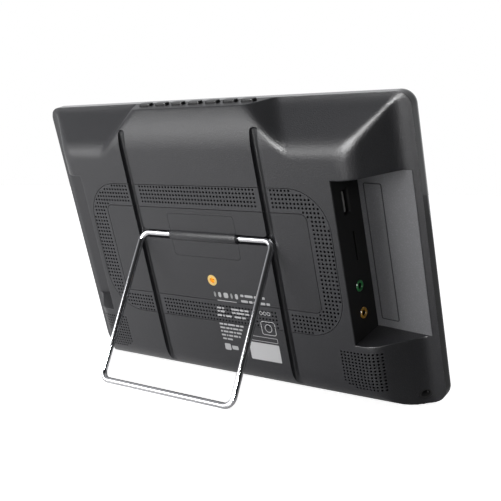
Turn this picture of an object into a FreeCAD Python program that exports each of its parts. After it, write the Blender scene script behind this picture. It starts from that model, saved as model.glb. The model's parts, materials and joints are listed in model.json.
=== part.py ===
import FreeCAD, Part
import math
import os

from FreeCAD import Placement, Rotation, Vector

# Digital photo frame with a folding wire stand. Millimetres.
#
# Every piece is drawn in the body's own frame and leant back at the end:
#   x  across the screen, +x on the right of someone who looks at the screen
#   y  from the front of the bezel (0) towards the back of the cover
#   z  up the screen, from the bottom edge (0)

# ---- driving dimensions: body ------------------------------------------------
body_width = 262.0
body_height = 171.0
body_depth = 33.0
seam_depth = 11.0            # front of the bezel to the seam with the cover
corner_radius = 8.0          # outline corners, seen from the front
front_rounding = 6.5
wall = 2.2                   # rear cover
bezel_wall = 2.2
fit_gap = 0.15               # between pieces that drop into each other
moving_gap = 0.3             # between a piece that moves and what it passes

# rear cover form
rim_height = 1.6             # rim above the seam, where the slopes start
side_slope_run = 20.5        # how far each side slope comes in from the rim
rim_width = 7.5              # flat rim outside the side slopes
top_slope_run = 20.0
top_rim_width = 2.5
bottom_rounding = 18.5
slope_rounding = 14.0
block_half_width = 43.5      # raised block that carries the buttons, at the ledge
block_start = 140.0          # inside the flat back, below the top slope
block_drop = 7.5             # the block's back, lower at the ledge
block_drop_length = 11.5
block_rounding = 39.0
block_flank = (2.0, 2.46)    # fall of its flanks per mm outwards, and per mm up
ledge_below_top = 0.1        # button ledge under the bezel's top edge

# ---- screen ------------------------------------------------------------------
view_width = 222.8
view_height = 125.4
window_radius = 0.6
panel_width = 233.0
panel_height = 143.0
glass_thickness = 1.4
guide_thickness = 1.9
tray_sheet = 0.5

# ---- connector bays ----------------------------------------------------------
bay_wall_x = 92.4            # middle of the body to the wall with the sockets
bay_bottom = 40.0
bay_top = 132.0
bay_floor_inner = 7.7        # depth of the floor from the bezel's front
bay_floor_rise = 4.5         # the floor comes back towards the rim
bay_wall = 1.7
port_plate_thickness = 1.2
port_plate_margin = 3.0

# ---- sockets, heights up the screen and depths from the front ----------------
usb_height = 117.4
usb_depth = 21.2
usb_mouth = (12.6, 5.2)
usb_shell_wall = 0.5
usb_length = 14.0
usb_face_inset = 0.2         # shell's end behind the bay's wall
usb_back_wall = 1.5
usb_foot_inset = 4.0
usb_tongue_inset = 0.8
usb_tongue_size = (11.2, 1.9)
usb_tongue_offset = 1.0
card_height = 91.5
card_depth = 18.4
card_slot = (17.0, 1.8)
card_body = (21.0, 3.0, 20.0)
card_back_wall = 2.0
headphone_height = 69.7
av_height = 53.8
jack_depth = 20.5
jack_bore = 3.6
jack_ring_diameter = 6.2
jack_ring_proud = 0.8
jack_body = (8.0, 7.2, 12.0)
jack_back_wall = 1.0
antenna_height = 108.0
antenna_bore = 2.6
antenna_diameter = 7.0
antenna_length = 12.0        # behind the bay's wall
antenna_reach = 3.0          # into the bay
antenna_base = 9.0
antenna_back_wall = 2.0
switch_height = 66.0
switch_travel = 2.0
switch_knob = (5.0, 3.0)
switch_proud = 1.6
switch_slider = 2.0
switch_lip = 1.5
switch_side_lip = 0.8
switch_wall = 1.5
switch_housing = 6.0
switch_housing_width = 10.0
dc_x = 120.9
dc_height = 6.2
dc_front = 6.5               # depth of the end inside the case
dc_diameter = 5.4
dc_bore = 3.9
dc_pin = 1.3
dc_pin_length = 5.0
dc_back_wall = 1.2

# ---- vent ring ---------------------------------------------------------------
vent_half_width = 88.6
vent_bottom = 42.5
vent_top = 127.8
vent_band = 14.2
vent_outer_radius = 24.0
vent_inner_radius = 4.0
vent_plate_thickness = 1.5
vent_hole = 1.35
vent_edge = 1.4              # outline to the first row of holes
vent_columns = 75
vent_rows = 36
vent_lip = 1.2
vent_outline = 0.35          # shadow gap round each plate

# ---- speaker grilles and speakers --------------------------------------------
grille_first_x = 82.7
grille_first_z = 13.6
grille_pitch_x = 2.12
grille_pitch_z = 1.97
grille_count = 12
grille_hole = 1.25
speaker_size = 24.0
speaker_x = 90.4
speaker_z = 25.5
speaker_front = 26.0         # depth of the face that looks out of the back
speaker_flange = 1.6
speaker_cone_depth = 7.0
speaker_magnet = 14.0
speaker_magnet_depth = 3.0
speaker_dish = 3.5
speaker_dust_cap = 4.0
speaker_surround = 2.5
speaker_rim = 0.5
speaker_post = 4.0

# ---- stand -------------------------------------------------------------------
wire_diameter = 3.5
wire_bend = 5.5              # to the middle of the wire
stand_half_width = 49.0
stand_length = 91.7
stand_opening = 40.0         # from the back of the body, degrees
hinge_height = 96.8
hinge_below_back = 1.3
groove_width = 5.4
groove_top = 160.5
groove_floor = 1.6           # material under a groove
barrel_radius = 3.4
hinge_half_width = 24.8
hinge_top = 110.2
hinge_bottom = 84.0
hinge_plate = 1.8
bush_running_gap = 0.06
clip_length = 8.0
clip_x = 15.0
clip_thickness = 0.7
hinge_screw_x = 16.0
hinge_screw_height = 105.0
hinge_boss = 5.0
hinge_block_depth = 6.5
hinge_corner = 2.0
clip_slit = 1.0

# ---- mounting insert ---------------------------------------------------------
insert_height = 69.5
insert_outer = 6.8
insert_bore = 3.3
insert_length = 8.0
insert_boss = 11.0

# ---- buttons -----------------------------------------------------------------
button_count = 7
button_pitch = 12.7
button_length = 9.4
button_width = 4.6
button_proud = 1.5
button_depth = 16.6          # from the front of the bezel
button_travel = 0.8
button_flange = 1.0
button_flange_thickness = 0.8
button_stem = 2.2            # below the underside of the ledge
switch_body = 6.0
switch_body_height = 2.4
switch_plunger = 3.0
board_thickness = 1.6
button_board_half = 43.0
button_board_width = 9.0

# ---- inside ------------------------------------------------------------------
main_board_depth = 15.2
main_board_x = (-89.6, -4.0)
main_board_z = (44.0, 126.0)
chip_places = (((-52, -34), 1.6, (76, 92)), ((-28, -16), 1.2, (74, 84)), ((-64, -56), 1.2, (62, 76)))
shield_x = (-46.0, -14.0)
shield_z = (96.0, 113.0)
shield_height = 4.5
standoff_diameter = 5.0
standoff_inset = (16.0, 6.0)
screw_thread = 2.5           # outside the thread
screw_core = 2.0             # inside it, where a screw sits in its pilot hole
screw_spare = 0.6            # left free past a screw's end
screw_head = 4.6
screw_head_height = 1.5
battery_x = (6.0, 84.0)
battery_z = (44.0, 104.0)
battery_depth = 9.5
case_screw_x = 70.0
case_screw_depth = 15.2
case_screw_length = 9.0
case_boss = 7.0
case_boss_top = 11.0

half_width = body_width / 2.0
hinge_y = body_depth - hinge_below_back
wire_radius = wire_diameter / 2.0
X_AXIS = Vector(1, 0, 0)
Y_AXIS = Vector(0, 1, 0)
Z_AXIS = Vector(0, 0, 1)


# ---- small helpers -----------------------------------------------------------
def block(x, y, z):
    """Box between two values on each axis."""
    size = [abs(pair[1] - pair[0]) for pair in (x, y, z)]
    return Part.makeBox(*size, Vector(min(x), min(y), min(z)))


def around(middle, size, grow=0.0):
    """Two values, a size apart, round a middle one."""
    return middle - size / 2.0 - grow, middle + size / 2.0 + grow


def rod(diameter, start, direction, length):
    return Part.makeCylinder(diameter / 2.0, length, Vector(*start), direction)


def rounded_wire(corners, to_point):
    """Closed outline through (a, b, radius) corners, each rounded by its radius."""
    ends = []
    count = len(corners)
    for index, (a, b, radius) in enumerate(corners):
        corner = Vector(a, b, 0)
        before = Vector(*corners[index - 1][:2], 0) - corner
        after = Vector(*corners[(index + 1) % count][:2], 0) - corner
        if radius <= 0:
            ends.append((corner, None, corner))
            continue
        half = before.getAngle(after) / 2.0
        reach = radius / math.tan(half)
        first = corner + Vector(before).normalize() * reach
        last = corner + Vector(after).normalize() * reach
        inward = (Vector(before).normalize() + Vector(after).normalize()).normalize()
        middle = corner + inward * (radius / math.sin(half) - radius)
        ends.append((first, middle, last))
    edges = []
    for index, (first, middle, last) in enumerate(ends):
        if middle is not None:
            edges.append(Part.Arc(to_point(first), to_point(middle), to_point(last)).toShape())
        following = ends[(index + 1) % count][0]
        if (following - last).Length > 1e-6:
            edges.append(Part.LineSegment(to_point(last), to_point(following)).toShape())
    return Part.Wire(edges)


def rectangle_corners(x, z, radius):
    return [(x[0], z[0], radius), (x[1], z[0], radius), (x[1], z[1], radius), (x[0], z[1], radius)]


def front_prism(corners, y, inset=0.0):
    """Outline in x and z, made solid between two depths."""
    wire = rounded_wire(corners, lambda p: Vector(p.x, y[0], p.y))
    if inset:
        wire = wire.makeOffset2D(-inset)
    return Part.Face(wire).extrude(Y_AXIS * (y[1] - y[0]))


def upright_prism(corners, z, inset=0.0):
    """Outline in x and y, made solid between two heights."""
    wire = rounded_wire(corners, lambda p: Vector(p.x, p.y, z[0]))
    if inset:
        wire = wire.makeOffset2D(-inset)
    return Part.Face(wire).extrude(Z_AXIS * (z[1] - z[0]))


def cross_prism(corners, x, inset=0.0):
    """Outline in y and z, made solid between two places across the screen."""
    wire = rounded_wire(corners, lambda p: Vector(x[0], p.x, p.y))
    if inset:
        wire = wire.makeOffset2D(-inset)
    return Part.Face(wire).extrude(X_AXIS * (x[1] - x[0]))


def fused(shapes):
    shapes = list(shapes)
    return shapes[0].fuse(shapes[1:]).removeSplitter() if len(shapes) > 1 else shapes[0]


def mirrored(shape):
    return shape.mirror(Vector(0, 0, 0), X_AXIS)


def both_sides(shape):
    return [shape, mirrored(shape)]


# ---- rear cover --------------------------------------------------------------
def side_corners():
    rim = seam_depth + rim_height
    foot = half_width - rim_width
    shoulder = foot - side_slope_run
    right = [(half_width, 0, 0), (half_width, seam_depth + 0.2, 0), (foot, rim, 6.0),
             (shoulder, body_depth, slope_rounding)]
    return right + [(-x, y, r) for x, y, r in reversed(right)]


def length_corners():
    rim = seam_depth + rim_height
    foot = body_height - top_rim_width
    return [(0, 0, 0), (body_depth, 0, bottom_rounding),
            (body_depth, foot - top_slope_run, slope_rounding), (rim, foot, 0),
            (seam_depth + 0.2, body_height, 0), (0, body_height, 0)]


def half_space(point, normal):
    """Block that fills everything on the inner side of a slanted plane near the body."""
    size = 3 * body_width
    solid = Part.makeBox(size, size, size, Vector(-size / 2, -size / 2, -size))
    solid.Placement = Placement(point, Rotation(Z_AXIS, normal))
    return solid


def button_block(inset):
    """Raised block whose flanks spread towards the middle of the back."""
    top = body_height - ledge_below_top
    back = body_depth - block_drop
    lengthwise = [(0, block_start, 0), (body_depth, block_start, 0),
                  (body_depth, top - block_drop_length, block_rounding), (back, top, 0), (0, top, 0)]
    block_solid = cross_prism(lengthwise, (-half_width, half_width), inset)
    outwards, upwards = block_flank
    for side in (-1, 1):
        normal = Vector(side * outwards, 1, upwards).normalize()
        edge = Vector(side * block_half_width, back, top) - normal * inset
        block_solid = block_solid.common(half_space(edge, normal))
    return block_solid


def body_form(inset=0.0):
    """Everything inside the cover's outer surface, or its inner one with an inset."""
    slopes = upright_prism(side_corners(), (0, body_height), inset).common(
        cross_prism(length_corners(), (-half_width, half_width), inset))
    outline = rectangle_corners((-half_width, half_width), (0, body_height), corner_radius)
    form = slopes.fuse(button_block(inset))
    return form.common(front_prism(outline, (0, body_depth + 1), inset))


def bay_floor_y(x):
    """Depth of a bay's floor at a distance from the middle of the body."""
    return bay_floor_inner + bay_floor_rise * (x - bay_wall_x) / (half_width - rim_width / 2 - bay_wall_x)


def bay_volume(grow=0.0):
    outside = half_width + 10
    inner = bay_wall_x - grow
    corners = [(inner, bay_floor_y(bay_wall_x) - grow, 0), (outside, bay_floor_y(outside) - grow, 0),
               (outside, body_depth + 10, 0), (inner, body_depth + 10, 0)]
    return upright_prism(corners, (bay_bottom - grow, bay_top + grow))


def groove_y():
    return hinge_y - wire_radius - 0.35


def stand_track(width, length, upwards):
    """Plan of the folded wire, as wide as asked, below or above the hinge."""
    reach = width / 2.0
    far = length + 40 if not upwards else groove_top - hinge_height
    sign = 1 if upwards else -1
    z = sorted((hinge_height - sign * reach, hinge_height + sign * (far + reach)))
    outer = rectangle_corners((-stand_half_width - reach, stand_half_width + reach), z, wire_bend + reach)
    inner_z = sorted((hinge_height + sign * reach, hinge_height + sign * (far + 60)))
    inner_x = (-stand_half_width + reach, stand_half_width - reach)
    inner = rectangle_corners(inner_x, inner_z, max(wire_bend - reach, 0.5))
    return outer, inner


def groove_tool(grow, bottom):
    """Legs' and bar's grooves, folded down and folded up, from a depth to the back."""
    width = groove_width + 2 * grow
    depth = (bottom, body_depth + 1)
    tools = []
    for upwards in (False, True):
        outer, inner = stand_track(width, stand_length, upwards)
        ring = front_prism(outer, depth).cut(front_prism(inner, depth))
        tools.append(ring)
    legs = []
    for side in (-1, 1):
        x = (side * stand_half_width - width / 2.0, side * stand_half_width + width / 2.0)
        legs.append(block(x, depth, (-1, hinge_height)))
    tracks = fused(tools + legs)
    keep = block((-half_width, half_width), depth, (-1, groove_top + grow))
    ends = [rod(width, (side * stand_half_width, bottom, groove_top - groove_width / 2.0), Y_AXIS,
                body_depth + 1 - bottom) for side in (-1, 1)]
    bar_top = hinge_height + width / 2.0
    above = block((-half_width, half_width), depth, (groove_top - groove_width / 2.0, body_height + 99))
    open_middle = block((-stand_half_width + width / 2.0, stand_half_width - width / 2.0), depth,
                        (bar_top + 20, body_height + 99))
    tracks = tracks.common(keep).cut(above).cut(open_middle)
    return fused([tracks] + ends)


def ring_solid(outer_inset, y):
    """Vent ring between its two outlines, drawn in by an inset on both."""
    outer = rectangle_corners(around(0, 2 * vent_half_width), (vent_bottom, vent_top), vent_outer_radius)
    inner_x = vent_half_width - vent_band
    inner_z = (vent_bottom + vent_band, vent_top - vent_band)
    inner = rectangle_corners((-inner_x, inner_x), inner_z, vent_inner_radius)
    return front_prism(outer, y, outer_inset).cut(front_prism(inner, y, -outer_inset))


def leg_strips(clear, y):
    strips = []
    for side in (-1, 1):
        x = side * stand_half_width
        strips.append(block((x - clear, x + clear), y, (0, body_height)))
    return strips


def hinge_pocket(gap, depth):
    x = (-hinge_half_width - gap, hinge_half_width + gap)
    outline = rectangle_corners(x, (hinge_bottom - gap, hinge_top + gap), hinge_corner)
    return front_prism(outline, (body_depth - depth, body_depth + 1))


def grille_points():
    for row in range(grille_count):
        skipped = (3, 1)[row] if row < 2 else 0
        for column in range(skipped, grille_count):
            yield grille_first_x + column * grille_pitch_x, grille_first_z + row * grille_pitch_z


def grille_holes():
    start = body_depth / 2.0
    holes = [rod(grille_hole, (x, start, z), Y_AXIS, body_depth) for x, z in grille_points()]
    return Part.makeCompound(holes + [mirrored(hole) for hole in holes])


def dc_cylinder(diameter, y):
    """Round of the power socket, which looks straight back out of the side slope."""
    return rod(diameter, (-dc_x, y[0], dc_height), Y_AXIS, y[1] - y[0])


def button_places():
    middle = (button_count - 1) / 2.0
    return [(index - middle) * button_pitch for index in range(button_count)]


def stadium(length, width, x, y, z):
    """Long round-ended block standing along the screen's height."""
    return upright_prism(rectangle_corners(around(x, length), around(y, width), width / 2 - 0.01), z)


def speaker_posts():
    posts = []
    reach = speaker_size / 2.0 + speaker_post / 2.0
    for side in (-1, 1):
        for dx in (-1, 1):
            x = side * speaker_x + dx * reach
            place = (x, speaker_front, speaker_z)
            posts.append(rod(speaker_post, place, Y_AXIS, body_depth - speaker_front))
    return posts


def case_screw_hole(diameter, z):
    places = [(side * case_screw_x, case_screw_depth, z[0]) for side in (-1, 1)]
    return [rod(diameter, place, Z_AXIS, z[1] - z[0]) for place in places]


def socket_openings():
    """Holes in the wall of the socket bay, on the -x side."""
    x = (-bay_wall_x - 1, -bay_wall_x + wall + 1)
    grow = usb_shell_wall + fit_gap
    holes = [block(x, around(usb_depth, usb_mouth[1], grow), around(usb_height, usb_mouth[0], grow)),
             block(x, around(card_depth, card_slot[1]), around(card_height, card_slot[0]))]
    for height in (headphone_height, av_height):
        holes.append(rod(jack_ring_diameter + 2 * fit_gap, (x[0], jack_depth, height), X_AXIS, x[1] - x[0]))
    return holes


def far_bay_openings():
    """Holes in the wall of the aerial bay, on the +x side."""
    x = (bay_wall_x - wall - 1, bay_wall_x + 1)
    slot_z = (switch_height - switch_knob[0] / 2 - moving_gap,
              switch_height + switch_knob[0] / 2 + switch_travel + moving_gap)
    slot_y = around(jack_depth, switch_knob[1], moving_gap)
    hole = rod(antenna_diameter + 2 * fit_gap, (x[0], jack_depth, antenna_height), X_AXIS, x[1] - x[0])
    return [block(x, slot_y, slot_z), hole]


def port_plate(side, gap=0.0):
    """Dark panel let into the wall of a bay."""
    x = sorted((side * bay_wall_x, side * (bay_wall_x - port_plate_thickness)))
    y = (bay_floor_inner + port_plate_margin - gap, body_depth - port_plate_margin + gap)
    z = (bay_bottom + port_plate_margin - gap, bay_top - port_plate_margin + gap)
    return block(x, y, z)


def make_rear_cover():
    outer = body_form()
    behind_seam = block((-half_width, half_width), (seam_depth, body_depth + 2), (0, body_height))
    inside_tray = front_prism(
        rectangle_corners((-half_width, half_width), (0, body_height), corner_radius),
        (0, seam_depth), bezel_wall + fit_gap)
    room = outer.common(fused([behind_seam, inside_tray]))
    shell = outer.common(behind_seam).cut(body_form(wall))
    groove_block = groove_tool(groove_floor, groove_y() - groove_floor).common(outer).common(behind_seam)
    hinge_back = block((-hinge_half_width - wall, hinge_half_width + wall),
                       (body_depth - hinge_block_depth, body_depth - wall / 2.0),
                       (hinge_bottom - wall, hinge_top + wall))
    ribs = [groove_block, hinge_back]
    ribs += [rod(insert_boss, (0, body_depth - insert_length, insert_height), Y_AXIS, insert_length - 0.5)]
    ribs += [post.common(outer) for post in speaker_posts()]
    for side_shape in both_sides(bay_volume(bay_wall)):
        ribs.append(side_shape.common(room))
    cover = fused([shell] + ribs)
    tools = both_sides(bay_volume())
    tools.append(groove_tool(0.0, groove_y()))
    tools.append(ring_solid(0.0, (body_depth - vent_plate_thickness, body_depth + 1)))
    lip = ring_solid(vent_lip, (body_depth - wall - 1, body_depth + 1))
    tools.append(lip.cut(fused(leg_strips(groove_width / 2 + groove_floor, (0, body_depth + 2)))))
    tools.append(hinge_pocket(fit_gap, hinge_plate))
    tools.append(rod(2 * barrel_radius + 2 * fit_gap, (-hinge_half_width - fit_gap, hinge_y, hinge_height),
                     X_AXIS, 2 * (hinge_half_width + fit_gap)))
    tools.append(rod(insert_outer, (0, body_depth - insert_length, insert_height), Y_AXIS, insert_length + 1))
    tools += [rod(hinge_boss + 2 * fit_gap, (x, 0, hinge_screw_height), Y_AXIS, body_depth)
              for x in (-hinge_screw_x, hinge_screw_x)]
    tools += [port_plate(-1), port_plate(1)]
    tools += socket_openings() + far_bay_openings()
    tools.append(dc_cylinder(dc_diameter + 2 * fit_gap, (dc_front, body_depth)))
    for x in button_places():
        hole = (body_height - ledge_below_top - wall - 1, body_height + 1)
        size = (button_length + 2 * moving_gap, button_width + 2 * moving_gap)
        tools.append(stadium(*size, x, button_depth, hole))
    tools += case_screw_hole(screw_thread + 2 * fit_gap, (-1, case_boss_top))
    tools += case_screw_hole(screw_head + 2 * fit_gap, (-1, screw_head_height))
    cover = cover.cut(tools)
    return cover.cut(grille_holes())


# ---- front -------------------------------------------------------------------
def make_front_bezel():
    outline = rectangle_corners((-half_width, half_width), (0, body_height), corner_radius)
    body = front_prism(outline, (0, seam_depth))
    front_edges = [edge for edge in body.Edges if edge.BoundBox.YMax < 1e-6]
    body = body.makeFillet(front_rounding, front_edges)
    middle = body_height / 2.0
    inside = front_prism(outline, (bezel_wall, seam_depth + 1), bezel_wall)
    rounding = front_rounding - bezel_wall
    inner_edges = [edge for edge in inside.Edges if edge.BoundBox.YMax < bezel_wall + 1e-6]
    inside = inside.makeFillet(rounding, inner_edges)
    window = rectangle_corners(around(0, view_width), around(middle, view_height), window_radius)
    window = front_prism(window, (-1, seam_depth))
    pocket = block(around(0, panel_width, fit_gap), (bezel_wall, seam_depth + 1),
                   around(middle, panel_height, fit_gap))
    bosses = []
    for side in (-1, 1):
        x = side * case_screw_x
        tab = block(around(x, case_boss), (bezel_wall + 1, case_screw_depth + case_boss / 2),
                    (wall + fit_gap, case_boss_top))
        bosses.append(tab.common(body_form(wall + fit_gap)))
    bezel = fused([body.cut(inside.fuse(pocket))] + bosses)
    bezel = bezel.cut(pocket)
    return bezel.cut([window] + case_screw_hole(screw_thread, (0, case_boss_top + 1)))


def make_screen():
    middle = body_height / 2.0
    x = around(0, panel_width)
    z = around(middle, panel_height)
    glass = block(x, (bezel_wall, bezel_wall + glass_thickness), z)
    guide_back = bezel_wall + glass_thickness + guide_thickness
    inset = tray_sheet + 0.1
    guide = block((x[0] + inset, x[1] - inset), (bezel_wall + glass_thickness, guide_back),
                  (z[0] + inset, z[1] - inset))
    tray_back = guide_back + tray_sheet
    tray = block(x, (bezel_wall + glass_thickness, tray_back), z)
    tray = tray.cut(block((x[0] + tray_sheet, x[1] - tray_sheet), (0, guide_back),
                          (z[0] + tray_sheet, z[1] - tray_sheet)))
    return {"lcd_glass": glass, "lcd_light_guide": guide, "lcd_tray": tray}


def tray_back_y():
    return bezel_wall + glass_thickness + guide_thickness + tray_sheet


# ---- vents -------------------------------------------------------------------
def rounded_distance(x, z, half_x, z_range, radius):
    """How far a point is inside a rounded rectangle; negative outside it."""
    middle = sum(z_range) / 2.0
    dx = abs(x) - (half_x - radius)
    dz = abs(z - middle) - ((z_range[1] - z_range[0]) / 2.0 - radius)
    outside = math.hypot(max(dx, 0), max(dz, 0)) + min(max(dx, dz), 0)
    return radius - outside


def vent_points():
    pitch_x = (2 * vent_half_width - 2 * vent_edge) / (vent_columns - 1)
    pitch_z = (vent_top - vent_bottom - 2 * vent_edge) / (vent_rows - 1)
    inner_x = vent_half_width - vent_band
    inner_z = (vent_bottom + vent_band, vent_top - vent_band)
    clear = vent_edge - 0.2
    points = []
    for column in range(vent_columns):
        x = -vent_half_width + vent_edge + column * pitch_x
        if abs(abs(x) - stand_half_width) < groove_width / 2 + vent_hole / 2 + 0.9:
            continue
        for row in range(vent_rows):
            z = vent_bottom + vent_edge + row * pitch_z
            outer = rounded_distance(x, z, vent_half_width, (vent_bottom, vent_top), vent_outer_radius)
            inner = rounded_distance(x, z, inner_x, inner_z, vent_inner_radius)
            if outer > clear and inner < -clear:
                points.append((x, z))
    return points


def make_vents():
    y = (body_depth - vent_plate_thickness, body_depth)
    ring = ring_solid(vent_outline, y).cut(fused(leg_strips(groove_width / 2, (0, body_depth + 2))))
    through = vent_plate_thickness + 2
    holes = [(x, z, rod(vent_hole, (x, y[0] - 1, z), Y_AXIS, through)) for x, z in vent_points()]
    names = {}
    middle = (vent_top + vent_bottom) / 2.0
    for solid in ring.Solids:
        centre = solid.BoundBox.Center
        if abs(centre.x) > stand_half_width:
            name = "vent_grille_right" if centre.x > 0 else "vent_grille_left"
        else:
            name = "vent_grille_top" if centre.z > middle else "vent_grille_bottom"
        box = solid.BoundBox
        own = [hole for x, z, hole in holes if box.XMin < x < box.XMax and box.ZMin < z < box.ZMax]
        names[name] = solid.cut(Part.makeCompound(own))
    return names


# ---- stand -------------------------------------------------------------------
def make_stand_wire():
    """Closed loop of wire, drawn folded down, then opened about the hinge."""
    x = stand_half_width
    bottom = hinge_height - stand_length
    bend = wire_bend
    pieces = []
    for z in (hinge_height, bottom):
        pieces.append(rod(wire_diameter, (-x + bend, hinge_y, z), X_AXIS, 2 * (x - bend)))
    for side in (-1, 1):
        pieces.append(rod(wire_diameter, (side * x, hinge_y, bottom + bend), Z_AXIS, stand_length - 2 * bend))
    turns = [((x - bend), hinge_height - bend, 0), (-(x - bend), hinge_height - bend, 90),
             (-(x - bend), bottom + bend, 180), ((x - bend), bottom + bend, 270)]
    for centre_x, centre_z, start in turns:
        corner = Part.makeTorus(bend, wire_radius, Vector(0, 0, 0), Y_AXIS, 0, 360, 360)
        across = (0, bend + wire_diameter)
        quadrant = block(across, (-wire_diameter, wire_diameter), across)
        quarter = corner.common(quadrant)
        quarter.rotate(Vector(0, 0, 0), Y_AXIS, -start)
        quarter.translate(Vector(centre_x, hinge_y, centre_z))
        pieces.append(quarter)
    wire = fused(pieces)
    wire.rotate(Vector(0, hinge_y, hinge_height), X_AXIS, stand_opening)
    return wire


def make_hinge():
    x = (-hinge_half_width, hinge_half_width)
    split = hinge_height - barrel_radius
    length = 2 * hinge_half_width
    start = (x[0], hinge_y, hinge_height)
    outline = rectangle_corners(x, (hinge_bottom, hinge_top), hinge_corner)
    plate = front_prism(outline, (body_depth - hinge_plate, body_depth))
    barrel = rod(2 * barrel_radius, start, X_AXIS, length)
    bore = rod(wire_diameter + 2 * bush_running_gap, start, X_AXIS, length)
    clip_space = [rod(wire_diameter + 2 * bush_running_gap + 2 * clip_thickness,
                      (side * clip_x - clip_length / 2, hinge_y, hinge_height), X_AXIS, clip_length)
                  for side in (-1, 1)]
    behind_axis = block((x[0] - 1, x[1] + 1), (hinge_y, body_depth + 9), (split, hinge_top + 1))
    saddle_half = barrel.common(block((x[0] - 1, x[1] + 1), (0, hinge_y), (0, body_height)))
    upper = plate.common(block(x, (0, body_depth), (split, hinge_top)))
    upper = upper.cut(block(x, (0, hinge_y), (0, hinge_height + barrel_radius)))
    bosses = []
    boss_y = body_depth - hinge_block_depth
    for side in (-1, 1):
        place = (side * hinge_screw_x, boss_y, hinge_screw_height)
        bosses.append(rod(hinge_boss, place, Y_AXIS, hinge_block_depth - hinge_plate / 2))
    cover = fused([upper, barrel.common(behind_axis)] + bosses).cut([bore] + clip_space)
    pilots = [rod(screw_core, (side * hinge_screw_x, boss_y - 1, hinge_screw_height), Y_AXIS,
                  hinge_block_depth - screw_spare) for side in (-1, 1)]
    cover = cover.cut(pilots)
    saddle = saddle_half.cut([bore] + clip_space)
    flap = plate.common(block(x, (0, body_depth), (hinge_bottom, split)))
    clips = []
    for space in clip_space:
        ring = space.cut(rod(wire_diameter + 2 * bush_running_gap, start, X_AXIS, length))
        slit = block(x, (0, hinge_y), around(hinge_height, clip_slit))
        clips.append(ring.cut(slit))
    screws = []
    for side in (-1, 1):
        place = (side * hinge_screw_x, boss_y - screw_head_height, hinge_screw_height)
        head = rod(screw_head, place, Y_AXIS, screw_head_height)
        reach = hinge_block_depth - hinge_plate - screw_spare
        shank = rod(screw_core, place, Y_AXIS, screw_head_height + reach)
        screws.append(head.fuse(shank))
    return {"hinge_cover": cover, "hinge_saddle": saddle, "hinge_flap": flap,
            "hinge_clips": Part.makeCompound(clips), "hinge_screws": Part.makeCompound(screws)}


def make_mount_insert():
    start = (0, body_depth - insert_length, insert_height)
    return rod(insert_outer, start, Y_AXIS, insert_length).cut(
        rod(insert_bore, (0, start[1] + 1, insert_height), Y_AXIS, insert_length))


# ---- buttons -----------------------------------------------------------------
def ledge_underside():
    return body_height - ledge_below_top - wall


def stem_bottom():
    return ledge_underside() - button_stem


def make_button(x):
    top = body_height - ledge_below_top + button_proud
    cap = stadium(button_length, button_width, x, button_depth, (ledge_underside() - moving_gap, top))
    rim = [edge for edge in cap.Edges if edge.BoundBox.ZMin > top - 1e-6]
    cap = cap.makeFillet(0.5, rim)
    flange_top = ledge_underside() - moving_gap
    flange = stadium(button_length + 2 * button_flange, button_width + 2 * button_flange, x, button_depth,
                     (flange_top - button_flange_thickness, flange_top))
    stem = rod(switch_plunger, (x, button_depth, stem_bottom()), Z_AXIS, flange_top - stem_bottom())
    return fused([cap, flange, stem])


def make_button_electronics():
    plunger_top = stem_bottom() - button_travel - moving_gap
    body_bottom = plunger_top - 1.0 - switch_body_height
    board = block((-button_board_half, button_board_half),
                  (button_depth - button_board_width / 2, button_depth + button_board_width / 2),
                  (body_bottom - board_thickness, body_bottom))
    switches = []
    for x in button_places():
        body = block((x - switch_body / 2, x + switch_body / 2),
                     (button_depth - switch_body / 2, button_depth + switch_body / 2),
                     (body_bottom, body_bottom + switch_body_height))
        switches.append(body.fuse(rod(switch_plunger, (x, button_depth, body_bottom), Z_AXIS,
                                      plunger_top - body_bottom)))
    posts = []
    for side in (-1, 1):
        x = side * (button_board_half - 2.5)
        low = body_bottom - board_thickness
        front = button_depth - button_board_width / 2
        post = block((x - 2, x + 2), (tray_back_y(), front + 3), (low - 3, low))
        posts.append(post)
    return {"button_board": board, "button_switches": Part.makeCompound(switches),
            "button_board_posts": Part.makeCompound(posts)}


# ---- sockets -----------------------------------------------------------------
def socket_face():
    """Distance from the middle to the sockets that stand behind a bay's wall."""
    return bay_wall_x - bay_wall - 0.1


def make_usb():
    face = -bay_wall_x + usb_face_inset
    x = (face, face + usb_length)
    floor = x[1] - usb_back_wall
    outer_y = around(usb_depth, usb_mouth[1], usb_shell_wall)
    shell = block(x, outer_y, around(usb_height, usb_mouth[0], usb_shell_wall))
    foot = block((x[0] + usb_foot_inset, x[1]), (main_board_depth + board_thickness, outer_y[0]),
                 around(usb_height, usb_mouth[0]))
    mouth = block((x[0] - 1, floor), around(usb_depth, usb_mouth[1]), around(usb_height, usb_mouth[0]))
    tongue_y = around(usb_depth + usb_tongue_offset, usb_tongue_size[1])
    tongue = block((x[0] + usb_tongue_inset, floor), tongue_y, around(usb_height, usb_tongue_size[0]))
    return {"usb_shell": fused([shell, foot]).cut(mouth), "usb_tongue": tongue}


def make_card_socket():
    start = -socket_face()
    length_z, thick_y, deep_x = card_body
    body = block((start, start + deep_x), around(card_depth, thick_y), around(card_height, length_z))
    slot = block((start - 1, start + deep_x - card_back_wall), around(card_depth, card_slot[1]),
                 around(card_height, card_slot[0]))
    return body.cut(slot)


def make_jack(height):
    start = -socket_face()
    wide_z, thick_y, deep_x = jack_body
    body = block((start, start + deep_x), around(jack_depth, thick_y), around(height, wide_z))
    ring_start = -bay_wall_x - jack_ring_proud
    ring = rod(jack_ring_diameter, (ring_start, jack_depth, height), X_AXIS, start - ring_start)
    bore_end = start + deep_x - jack_back_wall
    bore = rod(jack_bore, (ring_start - 1, jack_depth, height), X_AXIS, bore_end - ring_start + 1)
    return body.cut(bore), ring.cut(bore)


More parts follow.
